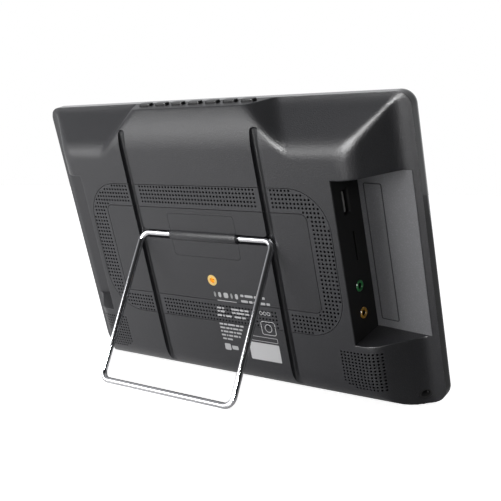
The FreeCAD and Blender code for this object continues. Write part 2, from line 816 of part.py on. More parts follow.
def make_dc_jack():
    """Socket whose end is trimmed to the slope that it comes out of."""
    floor = dc_front + dc_back_wall
    body = dc_cylinder(dc_diameter, (dc_front, body_depth)).common(body_form(fit_gap))
    bore = dc_cylinder(dc_bore, (floor, body_depth))
    return body.cut(bore).fuse(dc_cylinder(dc_pin, (dc_front, floor + dc_pin_length)))


def make_far_bay():
    inner = socket_face()
    start = inner - antenna_length
    barrel = rod(antenna_diameter, (start, jack_depth, antenna_height), X_AXIS,
                 bay_wall_x + antenna_reach - start)
    base = block((start, inner), around(jack_depth, antenna_base), around(antenna_height, antenna_base))
    bore = rod(antenna_bore, (start + antenna_back_wall, jack_depth, antenna_height), X_AXIS, half_width)
    socket = fused([barrel, base]).cut(bore)
    # the knob stands on a wider slider, which is kept in its housing by the bay's wall
    knob_z = around(switch_height, switch_knob[0])
    slider_z = (knob_z[0] - switch_lip, knob_z[1] + switch_lip)
    slider_y = around(jack_depth, switch_knob[1], switch_side_lip)
    slider_back = inner - switch_slider
    knob = block((slider_back, bay_wall_x + switch_proud), around(jack_depth, switch_knob[1]), knob_z)
    slider = block((slider_back, inner - moving_gap), slider_y, slider_z)
    room = block((slider_back - moving_gap, inner + 1), (slider_y[0] - moving_gap, slider_y[1] + moving_gap),
                 (slider_z[0] - moving_gap, slider_z[1] + switch_travel + moving_gap))
    housing = block((inner - switch_housing, inner), around(jack_depth, switch_housing_width),
                    (slider_z[0] - switch_wall, slider_z[1] + switch_travel + switch_wall))
    return {"antenna_socket": socket, "power_switch_knob": knob.fuse(slider),
            "power_switch_body": housing.cut(room)}


# ---- inside ------------------------------------------------------------------
def board_corners():
    inset_x, inset_z = standoff_inset
    for x in (main_board_x[0] + inset_x, main_board_x[1] - inset_x):
        for z in (main_board_z[0] + inset_z, main_board_z[1] - inset_z):
            yield x, z


def make_main_board():
    back = main_board_depth + board_thickness
    board = block(main_board_x, (main_board_depth, back), main_board_z)
    holes = [rod(screw_thread, (x, 0, z), Y_AXIS, body_depth) for x, z in board_corners()]
    standoffs, screws = [], []
    for x, z in board_corners():
        post = rod(standoff_diameter, (x, tray_back_y(), z), Y_AXIS, main_board_depth - tray_back_y())
        pilot = rod(screw_core, (x, tray_back_y() + 1, z), Y_AXIS, body_depth)
        standoffs.append(post.cut(pilot))
        head = rod(screw_head, (x, back, z), Y_AXIS, screw_head_height)
        shank_start = tray_back_y() + screw_spare + 1
        screws.append(head.fuse(rod(screw_core, (x, shank_start, z), Y_AXIS, back + 1 - shank_start)))
    chips = [block(x, (back, back + height), z) for x, height, z in chip_places]
    shield = block(shield_x, (back, back + shield_height), shield_z)
    shield = shield.cut(block((shield_x[0] + tray_sheet, shield_x[1] - tray_sheet),
                              (0, back + shield_height - tray_sheet),
                              (shield_z[0] + tray_sheet, shield_z[1] - tray_sheet)))
    return {"main_board": board.cut(holes), "board_standoffs": Part.makeCompound(standoffs),
            "board_screws": Part.makeCompound(screws), "board_chips": Part.makeCompound(chips),
            "tuner_shield": shield}


def make_battery():
    front = tray_back_y()
    pack = block(battery_x, (front, front + battery_depth), battery_z)
    edges = [edge for edge in pack.Edges if edge.BoundBox.YLength > battery_depth - 0.1]
    return pack.makeFillet(3.0, edges)


def make_speaker(side):
    x = side * speaker_x
    reach = speaker_size / 2.0
    face = (speaker_front - speaker_flange, speaker_front)
    basket = face[0] - speaker_cone_depth
    flange = block(around(x, speaker_size, speaker_post), face, around(speaker_z, speaker_post))
    plate = block(around(x, speaker_size), face, around(speaker_z, speaker_size))
    cone = Part.makeCone(speaker_magnet / 2, reach - speaker_rim, speaker_cone_depth,
                         Vector(x, basket, speaker_z), Y_AXIS)
    magnet = rod(speaker_magnet, (x, basket - speaker_magnet_depth, speaker_z), Y_AXIS, speaker_magnet_depth)
    dish = Part.makeCone(speaker_dust_cap / 2, reach - speaker_surround, speaker_dish,
                         Vector(x, speaker_front - speaker_dish, speaker_z), Y_AXIS)
    return fused([flange, plate, cone, magnet]).cut(dish)


def make_case_screws():
    screws = []
    for side in (-1, 1):
        x = side * case_screw_x
        head = rod(screw_head, (x, case_screw_depth, 0.3), Z_AXIS, screw_head_height - 0.3)
        shank = rod(screw_thread - 0.1, (x, case_screw_depth, 0.3), Z_AXIS, case_screw_length)
        screws.append(head.fuse(shank))
    return Part.makeCompound(screws)


# ---- assembly ----------------------------------------------------------------
def lean_angle():
    """Lean that puts the rounded bottom edge and the wire's foot on one level."""
    opening = math.radians(stand_opening)
    foot_y = hinge_y + stand_length * math.sin(opening)
    foot_z = hinge_height - stand_length * math.cos(opening)
    along = foot_y - (body_depth - bottom_rounding)
    up = foot_z - bottom_rounding
    drop = bottom_rounding - wire_radius
    return math.degrees(math.asin(drop / math.hypot(along, up)) + math.atan2(up, along))


def collect():
    nodes = {"rear_cover": make_rear_cover(), "front_bezel": make_front_bezel()}
    nodes.update(make_screen())
    nodes.update(make_vents())
    nodes["stand_wire"] = make_stand_wire()
    nodes.update(make_hinge())
    nodes["mount_insert"] = make_mount_insert()
    for number, x in enumerate(reversed(button_places()), start=1):
        nodes["button_%d" % number] = make_button(x)
    nodes.update(make_button_electronics())
    plate_left = port_plate(-1, -fit_gap).cut(socket_openings())
    nodes["port_plate_left"] = plate_left
    nodes["port_plate_right"] = port_plate(1, -fit_gap).cut(far_bay_openings())
    nodes.update(make_usb())
    nodes["card_socket"] = make_card_socket()
    nodes["headphone_jack"], nodes["headphone_ring"] = make_jack(headphone_height)
    nodes["av_jack"], nodes["av_ring"] = make_jack(av_height)
    nodes["dc_jack"] = make_dc_jack()
    nodes.update(make_far_bay())
    nodes.update(make_main_board())
    nodes["battery_pack"] = make_battery()
    nodes["speaker_left"] = make_speaker(-1)
    nodes["speaker_right"] = make_speaker(1)
    nodes["case_screws"] = make_case_screws()
    return nodes


def main():
    os.makedirs("parts", exist_ok=True)
    nodes = collect()
    lean = Placement(Vector(0, 0, 0), Rotation(X_AXIS, -lean_angle()))
    placed = {}
    for name, shape in nodes.items():
        copy = shape.copy()
        copy.Placement = lean.multiply(copy.Placement)
        placed[name] = copy
    box = FreeCAD.BoundBox()
    for shape in placed.values():
        box.add(shape.optimalBoundingBox(False))
    shift = Vector(-box.Center.x, -box.Center.y, -box.ZMin)
    print("lean %.3f shift %.3f %.3f" % (lean_angle(), shift.y, shift.z))
    print("size %.2f %.2f %.2f" % (box.XLength, box.YLength, box.ZLength))
    for name, shape in placed.items():
        shape.translate(shift)
        if not shape.isValid():
            print("not valid:", name)
        print("%-22s solids %d volume %.1f" % (name, len(shape.Solids), shape.Volume))
        shape.exportStep("parts/%s.step" % name)


main()
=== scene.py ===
"""Looks of a digital photo frame on a wire stand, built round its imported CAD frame."""

import json
import logging
import math
from dataclasses import dataclass, field
from enum import Enum
from typing import Callable, Iterable, Optional, Sequence

import bmesh
import bpy
from mathutils import Matrix, Vector
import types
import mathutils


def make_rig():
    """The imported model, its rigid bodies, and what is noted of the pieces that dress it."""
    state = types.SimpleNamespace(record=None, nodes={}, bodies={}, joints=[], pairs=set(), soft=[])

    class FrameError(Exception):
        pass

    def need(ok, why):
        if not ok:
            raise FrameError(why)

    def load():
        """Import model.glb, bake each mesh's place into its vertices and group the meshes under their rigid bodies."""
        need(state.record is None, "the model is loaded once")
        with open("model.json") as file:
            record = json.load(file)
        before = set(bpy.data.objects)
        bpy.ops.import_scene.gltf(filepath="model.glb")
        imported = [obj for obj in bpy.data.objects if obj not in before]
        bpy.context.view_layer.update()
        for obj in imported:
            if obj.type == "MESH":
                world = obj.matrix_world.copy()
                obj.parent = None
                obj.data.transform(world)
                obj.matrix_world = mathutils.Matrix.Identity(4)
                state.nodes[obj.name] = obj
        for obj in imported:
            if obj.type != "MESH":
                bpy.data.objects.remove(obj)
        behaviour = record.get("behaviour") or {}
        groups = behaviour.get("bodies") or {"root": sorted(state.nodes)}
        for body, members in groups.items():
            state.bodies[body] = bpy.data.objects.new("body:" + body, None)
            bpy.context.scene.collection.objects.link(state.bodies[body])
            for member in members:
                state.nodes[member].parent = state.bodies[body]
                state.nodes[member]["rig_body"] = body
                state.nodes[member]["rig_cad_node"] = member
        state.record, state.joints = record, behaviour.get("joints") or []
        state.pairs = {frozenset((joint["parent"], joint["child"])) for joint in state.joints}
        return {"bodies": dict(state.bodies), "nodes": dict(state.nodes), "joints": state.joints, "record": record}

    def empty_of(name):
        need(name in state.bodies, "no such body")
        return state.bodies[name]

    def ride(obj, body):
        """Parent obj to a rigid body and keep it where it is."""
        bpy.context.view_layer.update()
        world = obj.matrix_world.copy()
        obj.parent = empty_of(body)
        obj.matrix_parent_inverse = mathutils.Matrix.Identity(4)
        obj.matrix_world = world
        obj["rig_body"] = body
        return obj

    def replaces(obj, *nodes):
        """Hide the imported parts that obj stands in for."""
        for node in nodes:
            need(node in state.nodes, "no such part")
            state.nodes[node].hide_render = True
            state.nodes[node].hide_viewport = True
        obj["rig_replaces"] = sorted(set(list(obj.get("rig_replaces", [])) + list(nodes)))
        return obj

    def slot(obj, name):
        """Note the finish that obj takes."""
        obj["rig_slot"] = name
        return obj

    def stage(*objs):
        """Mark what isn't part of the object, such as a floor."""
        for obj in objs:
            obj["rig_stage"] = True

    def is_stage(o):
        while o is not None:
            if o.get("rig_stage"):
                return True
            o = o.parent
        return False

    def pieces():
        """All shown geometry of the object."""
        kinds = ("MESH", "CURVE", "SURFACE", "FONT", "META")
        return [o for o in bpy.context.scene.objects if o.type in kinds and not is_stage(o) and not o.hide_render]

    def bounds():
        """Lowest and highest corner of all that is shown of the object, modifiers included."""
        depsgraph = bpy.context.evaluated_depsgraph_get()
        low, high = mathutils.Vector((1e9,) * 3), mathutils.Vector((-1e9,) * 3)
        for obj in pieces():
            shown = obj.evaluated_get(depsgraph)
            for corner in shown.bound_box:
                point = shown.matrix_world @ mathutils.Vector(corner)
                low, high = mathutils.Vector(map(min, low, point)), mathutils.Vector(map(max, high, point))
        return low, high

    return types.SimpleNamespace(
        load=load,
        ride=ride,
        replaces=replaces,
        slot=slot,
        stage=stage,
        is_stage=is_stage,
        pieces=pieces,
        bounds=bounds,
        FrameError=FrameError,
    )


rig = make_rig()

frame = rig.load()
CAD_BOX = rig.bounds()
MM = 0.001
LOG = logging.getLogger("photo_frame")


# ---- node trees ----------------------------------------------------------------
class NodeBench:
    """Adds and joins nodes in one tree."""

    def __init__(self, tree: bpy.types.NodeTree) -> None:
        """Keeps the tree that nodes are added to."""
        self.tree = tree

    def add(self, kind: str, settings: Optional[dict] = None, **inputs: object) -> bpy.types.Node:
        """Adds a node and fills its inputs.

        Args:
            kind: the node's type, without its ShaderNode prefix.
            settings: attributes set on the node.
            inputs: values or output sockets, by input name with _ for a space.

        Returns:
            The new node.
        """
        node = self.tree.nodes.new("ShaderNode" + kind)
        for name, value in (settings or {}).items():
            setattr(node, name, value)
        for name, value in inputs.items():
            self.set(node, name.replace("_", " "), value)
        return node

    def set(self, node: bpy.types.Node, name: str, value: object) -> None:
        """Links an output socket to an input, or gives the input a constant.

        Args:
            node: the node that is fed.
            name: the input's name, or its number as text.
            value: a socket, a number or a colour.
        """
        socket = node.inputs[int(name)] if name.isdigit() else node.inputs[name]
        if isinstance(value, bpy.types.NodeSocket):
            self.tree.links.new(value, socket)
        else:
            socket.default_value = value

    def math(self, operation: str, first: object, second: object = 0.0) -> bpy.types.NodeSocket:
        """One arithmetic step; returns its output."""
        node = self.add("Math", {"operation": operation})
        self.set(node, "0", first)
        self.set(node, "1", second)
        return node.outputs[0]


class SurfaceGroups:
    """Node groups that more than one finish uses."""

    def __init__(self) -> None:
        """Builds each group once."""
        self.grain = self._grain()
        self.tone = self._tone()

    def _new(self, name: str, inputs: dict, outputs: dict) -> tuple:
        """Starts a group.

        Args:
            name: the group's name.
            inputs: socket kind and default, by name.
            outputs: socket kind, by name.

        Returns:
            The group, its bench, its input node and its output node.
        """
        group = bpy.data.node_groups.new(name, "ShaderNodeTree")
        for label, (kind, value) in inputs.items():
            socket = group.interface.new_socket(label, in_out="INPUT", socket_type="NodeSocket" + kind)
            socket.default_value = value
        for label, kind in outputs.items():
            group.interface.new_socket(label, in_out="OUTPUT", socket_type="NodeSocket" + kind)
        bench = NodeBench(group)
        return group, bench, group.nodes.new("NodeGroupInput"), group.nodes.new("NodeGroupOutput")

    def _grain(self) -> bpy.types.NodeTree:
        """Fine moulded or blasted grain: a height for Bump."""
        group, bench, source, sink = self._new(
            "moulded_grain", {"Size": ("Float", 0.0006), "Stretch": ("Float", 1.0)},
            {"Height": "Float"})
        place = bench.add("TexCoord").outputs["Object"]
        stretch = bench.add("CombineXYZ", X=source.outputs["Stretch"], Y=1.0, Z=1.0).outputs[0]
        along = bench.add("VectorMath", {"operation": "MULTIPLY"})
        bench.set(along, "0", place)
        bench.set(along, "1", stretch)
        scale = bench.math("DIVIDE", 1.0, source.outputs["Size"])
        noise = bench.add("TexNoise", Vector=along.outputs[0], Scale=scale, Detail=2.0, Roughness=0.6)
        bench.set(sink, "Height", noise.outputs[0])
        return group

    def _tone(self) -> bpy.types.NodeTree:
        """Slow changes of shade and gloss over a surface, with specks."""
        group, bench, source, sink = self._new(
            "handled_tone",
            {"Color": ("Color", (0.1, 0.1, 0.1, 1)), "Roughness": ("Float", 0.5),
             "Amount": ("Float", 0.1), "Specks": ("Float", 0.0), "Speck Size": ("Float", 0.0007)},
            {"Color": "Color", "Roughness": "Float"})
        place = bench.add("TexCoord").outputs["Object"]
        slow = bench.add("TexNoise", Vector=place, Scale=28.0, Detail=3.0).outputs[0]
        level = bench.math("ADD", bench.math("MULTIPLY", bench.math("SUBTRACT", slow, 0.5),
                                             source.outputs["Amount"]), 1.0)
        tiny = bench.math("DIVIDE", 1.0, source.outputs["Speck Size"])
        dots = bench.add("TexNoise", Vector=place, Scale=tiny, Detail=1.0).outputs[0]
        bright = bench.add("MapRange", Value=dots, From_Min=0.52, From_Max=0.75)
        bench.set(bright, "To Max", source.outputs["Specks"])
        level = bench.math("ADD", level, bright.outputs[0])
        tinted = bench.add("VectorMath", {"operation": "SCALE"})
        bench.set(tinted, "0", source.outputs["Color"])
        bench.set(tinted, "Scale", level)
        rough = bench.math("ADD", source.outputs["Roughness"],
                           bench.math("MULTIPLY", bench.math("SUBTRACT", slow, 0.5),
                                      bench.math("MULTIPLY", source.outputs["Amount"], 0.6)))
        bench.set(sink, "Color", tinted.outputs[0])
        bench.set(sink, "Roughness", rough)
        return group


GROUPS = SurfaceGroups()


@dataclass(frozen=True)
class Finish:
    """One material: its colour, gloss and grain.

    Metal, coat and specular are constants on the shader's own sockets.
    """

    name: str
    color: tuple
    roughness: float = 0.5
    metal: float = 0.0
    coat: float = 0.0
    specular: float = 0.5
    tone: float = 0.25
    specks: float = 0.0
    grain_size: float = 0.0006
    grain_depth: float = 0.00003
    grain_strength: float = 0.25
    stretch: float = 1.0

    def make(self) -> bpy.types.Material:
        """Builds the material; returns it."""
        material = bpy.data.materials.new(self.name)
        material.use_nodes = True
        material.diffuse_color = (*self.color, 1.0)
        bench = NodeBench(material.node_tree)
        shader = material.node_tree.nodes["Principled BSDF"]
        tone = bench.add("Group", {"node_tree": GROUPS.tone}, Color=(*self.color, 1.0),
                         Roughness=self.roughness, Amount=self.tone, Specks=self.specks,
                         Speck_Size=self.grain_size)
        grain = bench.add("Group", {"node_tree": GROUPS.grain}, Size=self.grain_size, Stretch=self.stretch)
        bump = bench.add("Bump", Strength=self.grain_strength, Distance=self.grain_depth,
                         Height=grain.outputs["Height"])
        bench.set(shader, "Base Color", tone.outputs["Color"])
        bench.set(shader, "Roughness", tone.outputs["Roughness"])
        bench.set(shader, "Normal", bump.outputs[0])
        shader.inputs["Metallic"].default_value = self.metal
        shader.inputs["Coat Weight"].default_value = self.coat
        shader.inputs["Specular IOR Level"].default_value = self.specular
        return material


class Finishes(Enum):
    """Every finish on the frame, by the record's slot or the new piece it is for."""

    COVER = Finish("cover_plastic", (0.025, 0.025, 0.029), 0.36, tone=0.12, specks=0.4,
                   grain_size=0.0006, grain_depth=0.0003, grain_strength=0.6)
    # The cover plastic painted lighter: painted light on the socket bay's floor, its label line and its marks.
    BAY = Finish("bay_floor_plastic", (0.19, 0.19, 0.2), 0.38, tone=0.12, specks=0.3,
                 grain_size=0.0006, grain_depth=0.0002, grain_strength=0.4)
    GRILLE = Finish("grille_plastic", (0.033, 0.033, 0.038), 0.42, tone=0.12,
                    grain_size=0.0006, grain_depth=0.0002, grain_strength=0.35)
    BEZEL = Finish("bezel_plastic", (0.006, 0.006, 0.007), 0.12, coat=0.8, tone=0.2, grain_strength=0.03)
    BUTTON = Finish("button_plastic", (0.014, 0.014, 0.016), 0.3, tone=0.3, grain_strength=0.2)
    PORT = Finish("port_plastic", (0.013, 0.013, 0.014), 0.6, specular=0.2, tone=0.3)
    CHROME = Finish("chrome_wire", (0.7, 0.7, 0.72), 0.06, metal=1.0, tone=0.1, grain_strength=0.02)
    BRASS = Finish("insert_brass", (0.95, 0.68, 0.26), 0.3, metal=1.0, tone=0.3, grain_strength=0.2)
    GLASS = Finish("screen_glass", (0.004, 0.004, 0.006), 0.08, coat=0.5, tone=0.1, grain_strength=0.01)
    GUIDE = Finish("light_guide", (0.8, 0.83, 0.85), 0.1, tone=0.05, grain_strength=0.02)
    TRAY = Finish("tray_steel", (0.5, 0.51, 0.53), 0.35, metal=1.0, stretch=0.05, grain_strength=0.2)
    SOCKET = Finish("socket_steel", (0.55, 0.55, 0.57), 0.3, metal=1.0, stretch=0.05, grain_strength=0.2)
    SPRING = Finish("spring_steel", (0.45, 0.45, 0.47), 0.3, metal=1.0, stretch=0.05, grain_strength=0.2)
    SCREW = Finish("screw_steel", (0.42, 0.42, 0.44), 0.3, metal=1.0, grain_strength=0.15)
    TONGUE = Finish("tongue_plastic", (0.62, 0.62, 0.6), 0.45, tone=0.15, grain_strength=0.1)
    GREEN = Finish("green_ring", (0.03, 0.3, 0.08), 0.3, tone=0.2, grain_strength=0.05)
    AMBER = Finish("amber_ring", (0.62, 0.33, 0.04), 0.3, tone=0.2, grain_strength=0.05)
    BODY = Finish("socket_body", (0.012, 0.012, 0.012), 0.5, tone=0.3)
    LAMINATE = Finish("board_laminate", (0.02, 0.14, 0.06), 0.35, tone=0.4, grain_size=0.0015)
    CHIP = Finish("chip_epoxy", (0.02, 0.02, 0.02), 0.6, tone=0.3)
    BATTERY = Finish("battery_wrap", (0.08, 0.17, 0.4), 0.3, tone=0.2)
    SPEAKER = Finish("speaker_body", (0.02, 0.02, 0.02), 0.8, tone=0.4, grain_size=0.0015)
    PRINT = Finish("back_print", (0.5, 0.5, 0.51), 0.55, tone=0.2)
    PLATE = Finish("type_plate", (0.6, 0.6, 0.61), 0.4, tone=0.1)
    FLOOR = Finish("studio_floor", (0.86, 0.86, 0.87), 0.5, tone=0.02, grain_strength=0.0)

    def material(self) -> bpy.types.Material:
        """The finish's material, made the first time it is asked for."""
        found = bpy.data.materials.get("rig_" + self.value.name)
        if found is None:
            found = self.value.make()
            found.name = "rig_" + self.value.name
        return found


# ---- the body's own frame --------------------------------------------------------
class LeanFrame:
    """Frame of the leaning case: across, back and up the screen, in millimetres."""

    HINGE = Vector((0.0, 31.7, 96.8))

    def __init__(self, joints: Sequence[dict]) -> None:
        """Finds the lean from the switch's travel, and the place from the stand's hinge."""
        by_name = {joint["name"]: joint for joint in joints}
        up = Vector(by_name["power_switch_slide"]["axis"]).normalized()
        back = up.cross(Vector((1.0, 0.0, 0.0)))
        turn = Matrix((Vector((1.0, 0.0, 0.0)), back, up)).transposed()
        origin = Vector(by_name["stand_hinge"]["pos_m"]) - turn @ (self.HINGE * MM)
        self.matrix = Matrix.Translation(origin) @ turn.to_4x4() @ Matrix.Scale(MM, 4)


LEAN = LeanFrame(frame["joints"])


# ---- mesh helpers ------------------------------------------------------------------
def piece(bm: bmesh.types.BMesh, name: str, finish: Finishes, slot: Optional[str] = None,
          body: str = "frame_body", sharp: float = 32.0) -> bpy.types.Object:
    """Places a mesh drawn in the body's frame, dresses it and rides it on a body.

    Args:
        bm: the mesh in millimetres; it is freed.
        name: the piece's name.
        finish: its finish.
        slot: the record's material slot, if it has one.
        body: the CAD body that it rides on.
        sharp: edges that turn by more degrees stay sharp.

    Returns:
        The finished object.
    """
    bmesh.ops.transform(bm, matrix=LEAN.matrix, verts=bm.verts)
    mesh = bpy.data.meshes.new(name)
    bm.to_mesh(mesh)
    bm.free()
    mesh.shade_smooth()
    mesh.set_sharp_from_angle(angle=math.radians(sharp))
    obj = bpy.data.objects.new(name, mesh)
    bpy.context.scene.collection.objects.link(obj)
    mesh.materials.append(finish.material())
    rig.ride(obj, body)
    if slot:
        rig.slot(obj, slot)
    LOG.info("%s: %d faces", name, len(mesh.polygons))
    return obj


def outline(bm: bmesh.types.BMesh, x: tuple, z: tuple, y: float, radius: float = 0.0,
            segments: int = 8) -> bmesh.types.BMFace:
    """Rounded rectangle that looks towards the back.

    Args:
        bm: the mesh it is added to.
        x: its two ends across.
        z: its two ends up.
        y: its depth.
        radius: of its corners.
        segments: along each corner.

    Returns:
        Its face.
    """
    middle = Vector(((x[0] + x[1]) / 2, y, (z[0] + z[1]) / 2))
    shape = (Matrix.Translation(middle) @ Matrix.Rotation(math.radians(-90), 4, "X")
             @ Matrix.Diagonal((x[1] - x[0], z[1] - z[0], 1.0, 1.0)))
    made = bmesh.ops.create_grid(bm, x_segments=1, y_segments=1, size=0.5, matrix=shape)["verts"]
    face = made[0].link_faces[0]
    if radius:
        bmesh.ops.bevel(bm, geom=made, offset=radius, segments=segments, profile=0.5,
                        affect="VERTICES", material=-1)
        face = max((f for f in bm.faces if abs(f.calc_center_median().y - y) < 1e-4),
                   key=lambda f: f.index if f.index >= 0 else 1e9)
    return face


def raise_face(bm: bmesh.types.BMesh, faces: Iterable[bmesh.types.BMFace], shift: Vector) -> list:
    """Extrudes faces by a shift; returns the moved faces."""
    made = bmesh.ops.extrude_face_region(bm, geom=list(faces), use_keep_orig=True)["geom"]
    moved = [g for g in made if isinstance(g, bmesh.types.BMVert)]
    bmesh.ops.translate(bm, vec=shift, verts=moved)
    return [g for g in made if isinstance(g, bmesh.types.BMFace)]


def slab(x: tuple, y: tuple, z: tuple, radius: float = 0.0, edge: float = 0.0,
         segments: int = 8, low_edge: float = 0.0) -> bmesh.types.BMesh:
    """Rounded plate between two depths.

    Args:
        x: its ends across.
        y: its front and back depth.
        z: its ends up.
        radius: of its four corners.
        edge: rounding of the edge at the back.
        segments: along each corner.
        low_edge: rounding of the edge at the front.

    Returns:
        The closed mesh, in millimetres.
    """
    bm = bmesh.new()
    face = outline(bm, x, z, y[0], radius, segments)
    raise_face(bm, [face], Vector((0, y[1] - y[0], 0)))
    for size, depth in ((edge, y[1]), (low_edge, y[0])):
        if size:
            rim = [e for e in bm.edges if all(abs(v.co.y - depth) < 1e-4 for v in e.verts)]
            bmesh.ops.bevel(bm, geom=rim, offset=size, segments=3, profile=0.5, affect="EDGES",
                            material=-1)
    bmesh.ops.recalc_face_normals(bm, faces=bm.faces)
    return bm


def rod(start: tuple, axis: str, length: float, radius: float, segments: int = 24) -> bmesh.types.BMesh:
    """Cylinder along one axis of the body's frame; returns its closed mesh."""
    bm = bmesh.new()
    turn = {"x": Matrix.Rotation(math.radians(90), 4, "Y"),
            "y": Matrix.Rotation(math.radians(-90), 4, "X"), "z": Matrix.Identity(4)}[axis]
    place = Matrix.Translation(start) @ turn @ Matrix.Translation((0, 0, length / 2))
    bmesh.ops.create_cone(bm, cap_ends=True, segments=segments, radius1=radius, radius2=radius,
                          depth=length, matrix=place)
    return bm


def spun(profile: Sequence[tuple], place: tuple, segments: int = 48) -> bmesh.types.BMesh:
    """Turned ring round an axis that runs across the body.

    Args:
        profile: its closed section, as radius and distance along +X.
        place: the axis's zero point.
        segments: round the ring.

    Returns:
        The closed mesh.
    """
    bm = bmesh.new()
    points = [bm.verts.new((along, 0.0, radius)) for radius, along in profile]
    lines = [bm.edges.new(pair) for pair in zip(points, points[1:] + points[:1])]
    bmesh.ops.spin(bm, geom=points + lines, cent=(0, 0, 0), axis=(1, 0, 0), angle=math.tau,
                   steps=segments, use_merge=True)
    bmesh.ops.remove_doubles(bm, verts=bm.verts, dist=1e-4)
    bmesh.ops.recalc_face_normals(bm, faces=bm.faces)
    bmesh.ops.translate(bm, vec=place, verts=bm.verts)
    return bm


def joined(parts: Iterable[bmesh.types.BMesh]) -> bmesh.types.BMesh:
    """One mesh that holds several; returns it and frees them."""
    whole = bmesh.new()
    for part in parts:
        mesh = bpy.data.meshes.new("part")
        part.to_mesh(mesh)
        part.free()
        whole.from_mesh(mesh)
        bpy.data.meshes.remove(mesh)
    return whole


def carved(bm: bmesh.types.BMesh, cutters: Iterable[bmesh.types.BMesh]) -> bmesh.types.BMesh:
    """Cuts closed shapes out of a mesh, one after the other.

    Args:
        bm: the closed mesh that is cut; it is freed.
        cutters: closed meshes; they are freed.

    Returns:
        The cut mesh.
    """
    mesh = bpy.data.meshes.new("blank")
    bm.to_mesh(mesh)
    bm.free()
    blank = bpy.data.objects.new("blank", mesh)
    bpy.context.scene.collection.objects.link(blank)
    for cutter in cutters:
        shape = bpy.data.meshes.new("cutter")
        cutter.to_mesh(shape)
        cutter.free()
        tool = bpy.data.objects.new("cutter", shape)
        bpy.context.scene.collection.objects.link(tool)
        cut = blank.modifiers.new("cut", "BOOLEAN")
        cut.operation, cut.solver, cut.object = "DIFFERENCE", "EXACT", tool
        depsgraph = bpy.context.evaluated_depsgraph_get()
        result = bpy.data.meshes.new_from_object(blank.evaluated_get(depsgraph))
        blank.modifiers.clear()
        old, blank.data = blank.data, result
        bpy.data.meshes.remove(old)
        bpy.data.objects.remove(tool)
        bpy.data.meshes.remove(shape)
    made = bmesh.new()
    made.from_mesh(blank.data)
    last = blank.data
    bpy.data.objects.remove(blank)
    bpy.data.meshes.remove(last)
    return made


def smooth_max(a: float, b: float, k: float) -> float:
    """The larger of two heights, blended where they differ by less than k."""
    h = max(k - abs(a - b), 0.0) / k if k > 1e-6 else 0.0
    return max(a, b) + h * h * k / 4


def smooth_min(a: float, b: float, k: float) -> float:
    """The smaller of two heights, blended where they differ by less than k."""
    return -smooth_max(-a, -b, k)


def edge_drop(distance: float, radius: float) -> float:
    """How far a rounded edge lies below its sharp one, at a distance from it."""
    return radius - math.sqrt(max(radius ** 2 - (radius - distance) ** 2, 0.0)) if distance < radius else 0.0


def rounding_lines(radius: float, steps: int) -> list:
    """Distances from an edge at which its rounding needs a grid line."""
    return [radius * (1 - math.cos(math.pi / 2 * i / steps)) for i in range(steps + 1)]


def spread(marks: Iterable[float], step: Callable[[float], float]) -> list:
    """Grid lines through every mark, with even ones between.

    Args:
        marks: places that need a line.
        step: largest gap allowed near a place.

    Returns:
        The sorted places.
    """
    ordered = sorted(set(round(mark, 4) for mark in marks))
    lines = []
    for low, high in zip(ordered, ordered[1:]):
        count = max(1, math.ceil((high - low) / step((low + high) / 2)))
        lines += [low + (high - low) * i / count for i in range(count)]
    return lines + [ordered[-1]]


def interpolate(value: float, table: Sequence[tuple]) -> float:
    """Straight-line lookup in a sorted table of pairs."""
    for (a, fa), (b, fb) in zip(table, table[1:]):
        if value <= b:
            return fa + (fb - fa) * (value - a) / (b - a)
    return table[-1][1]


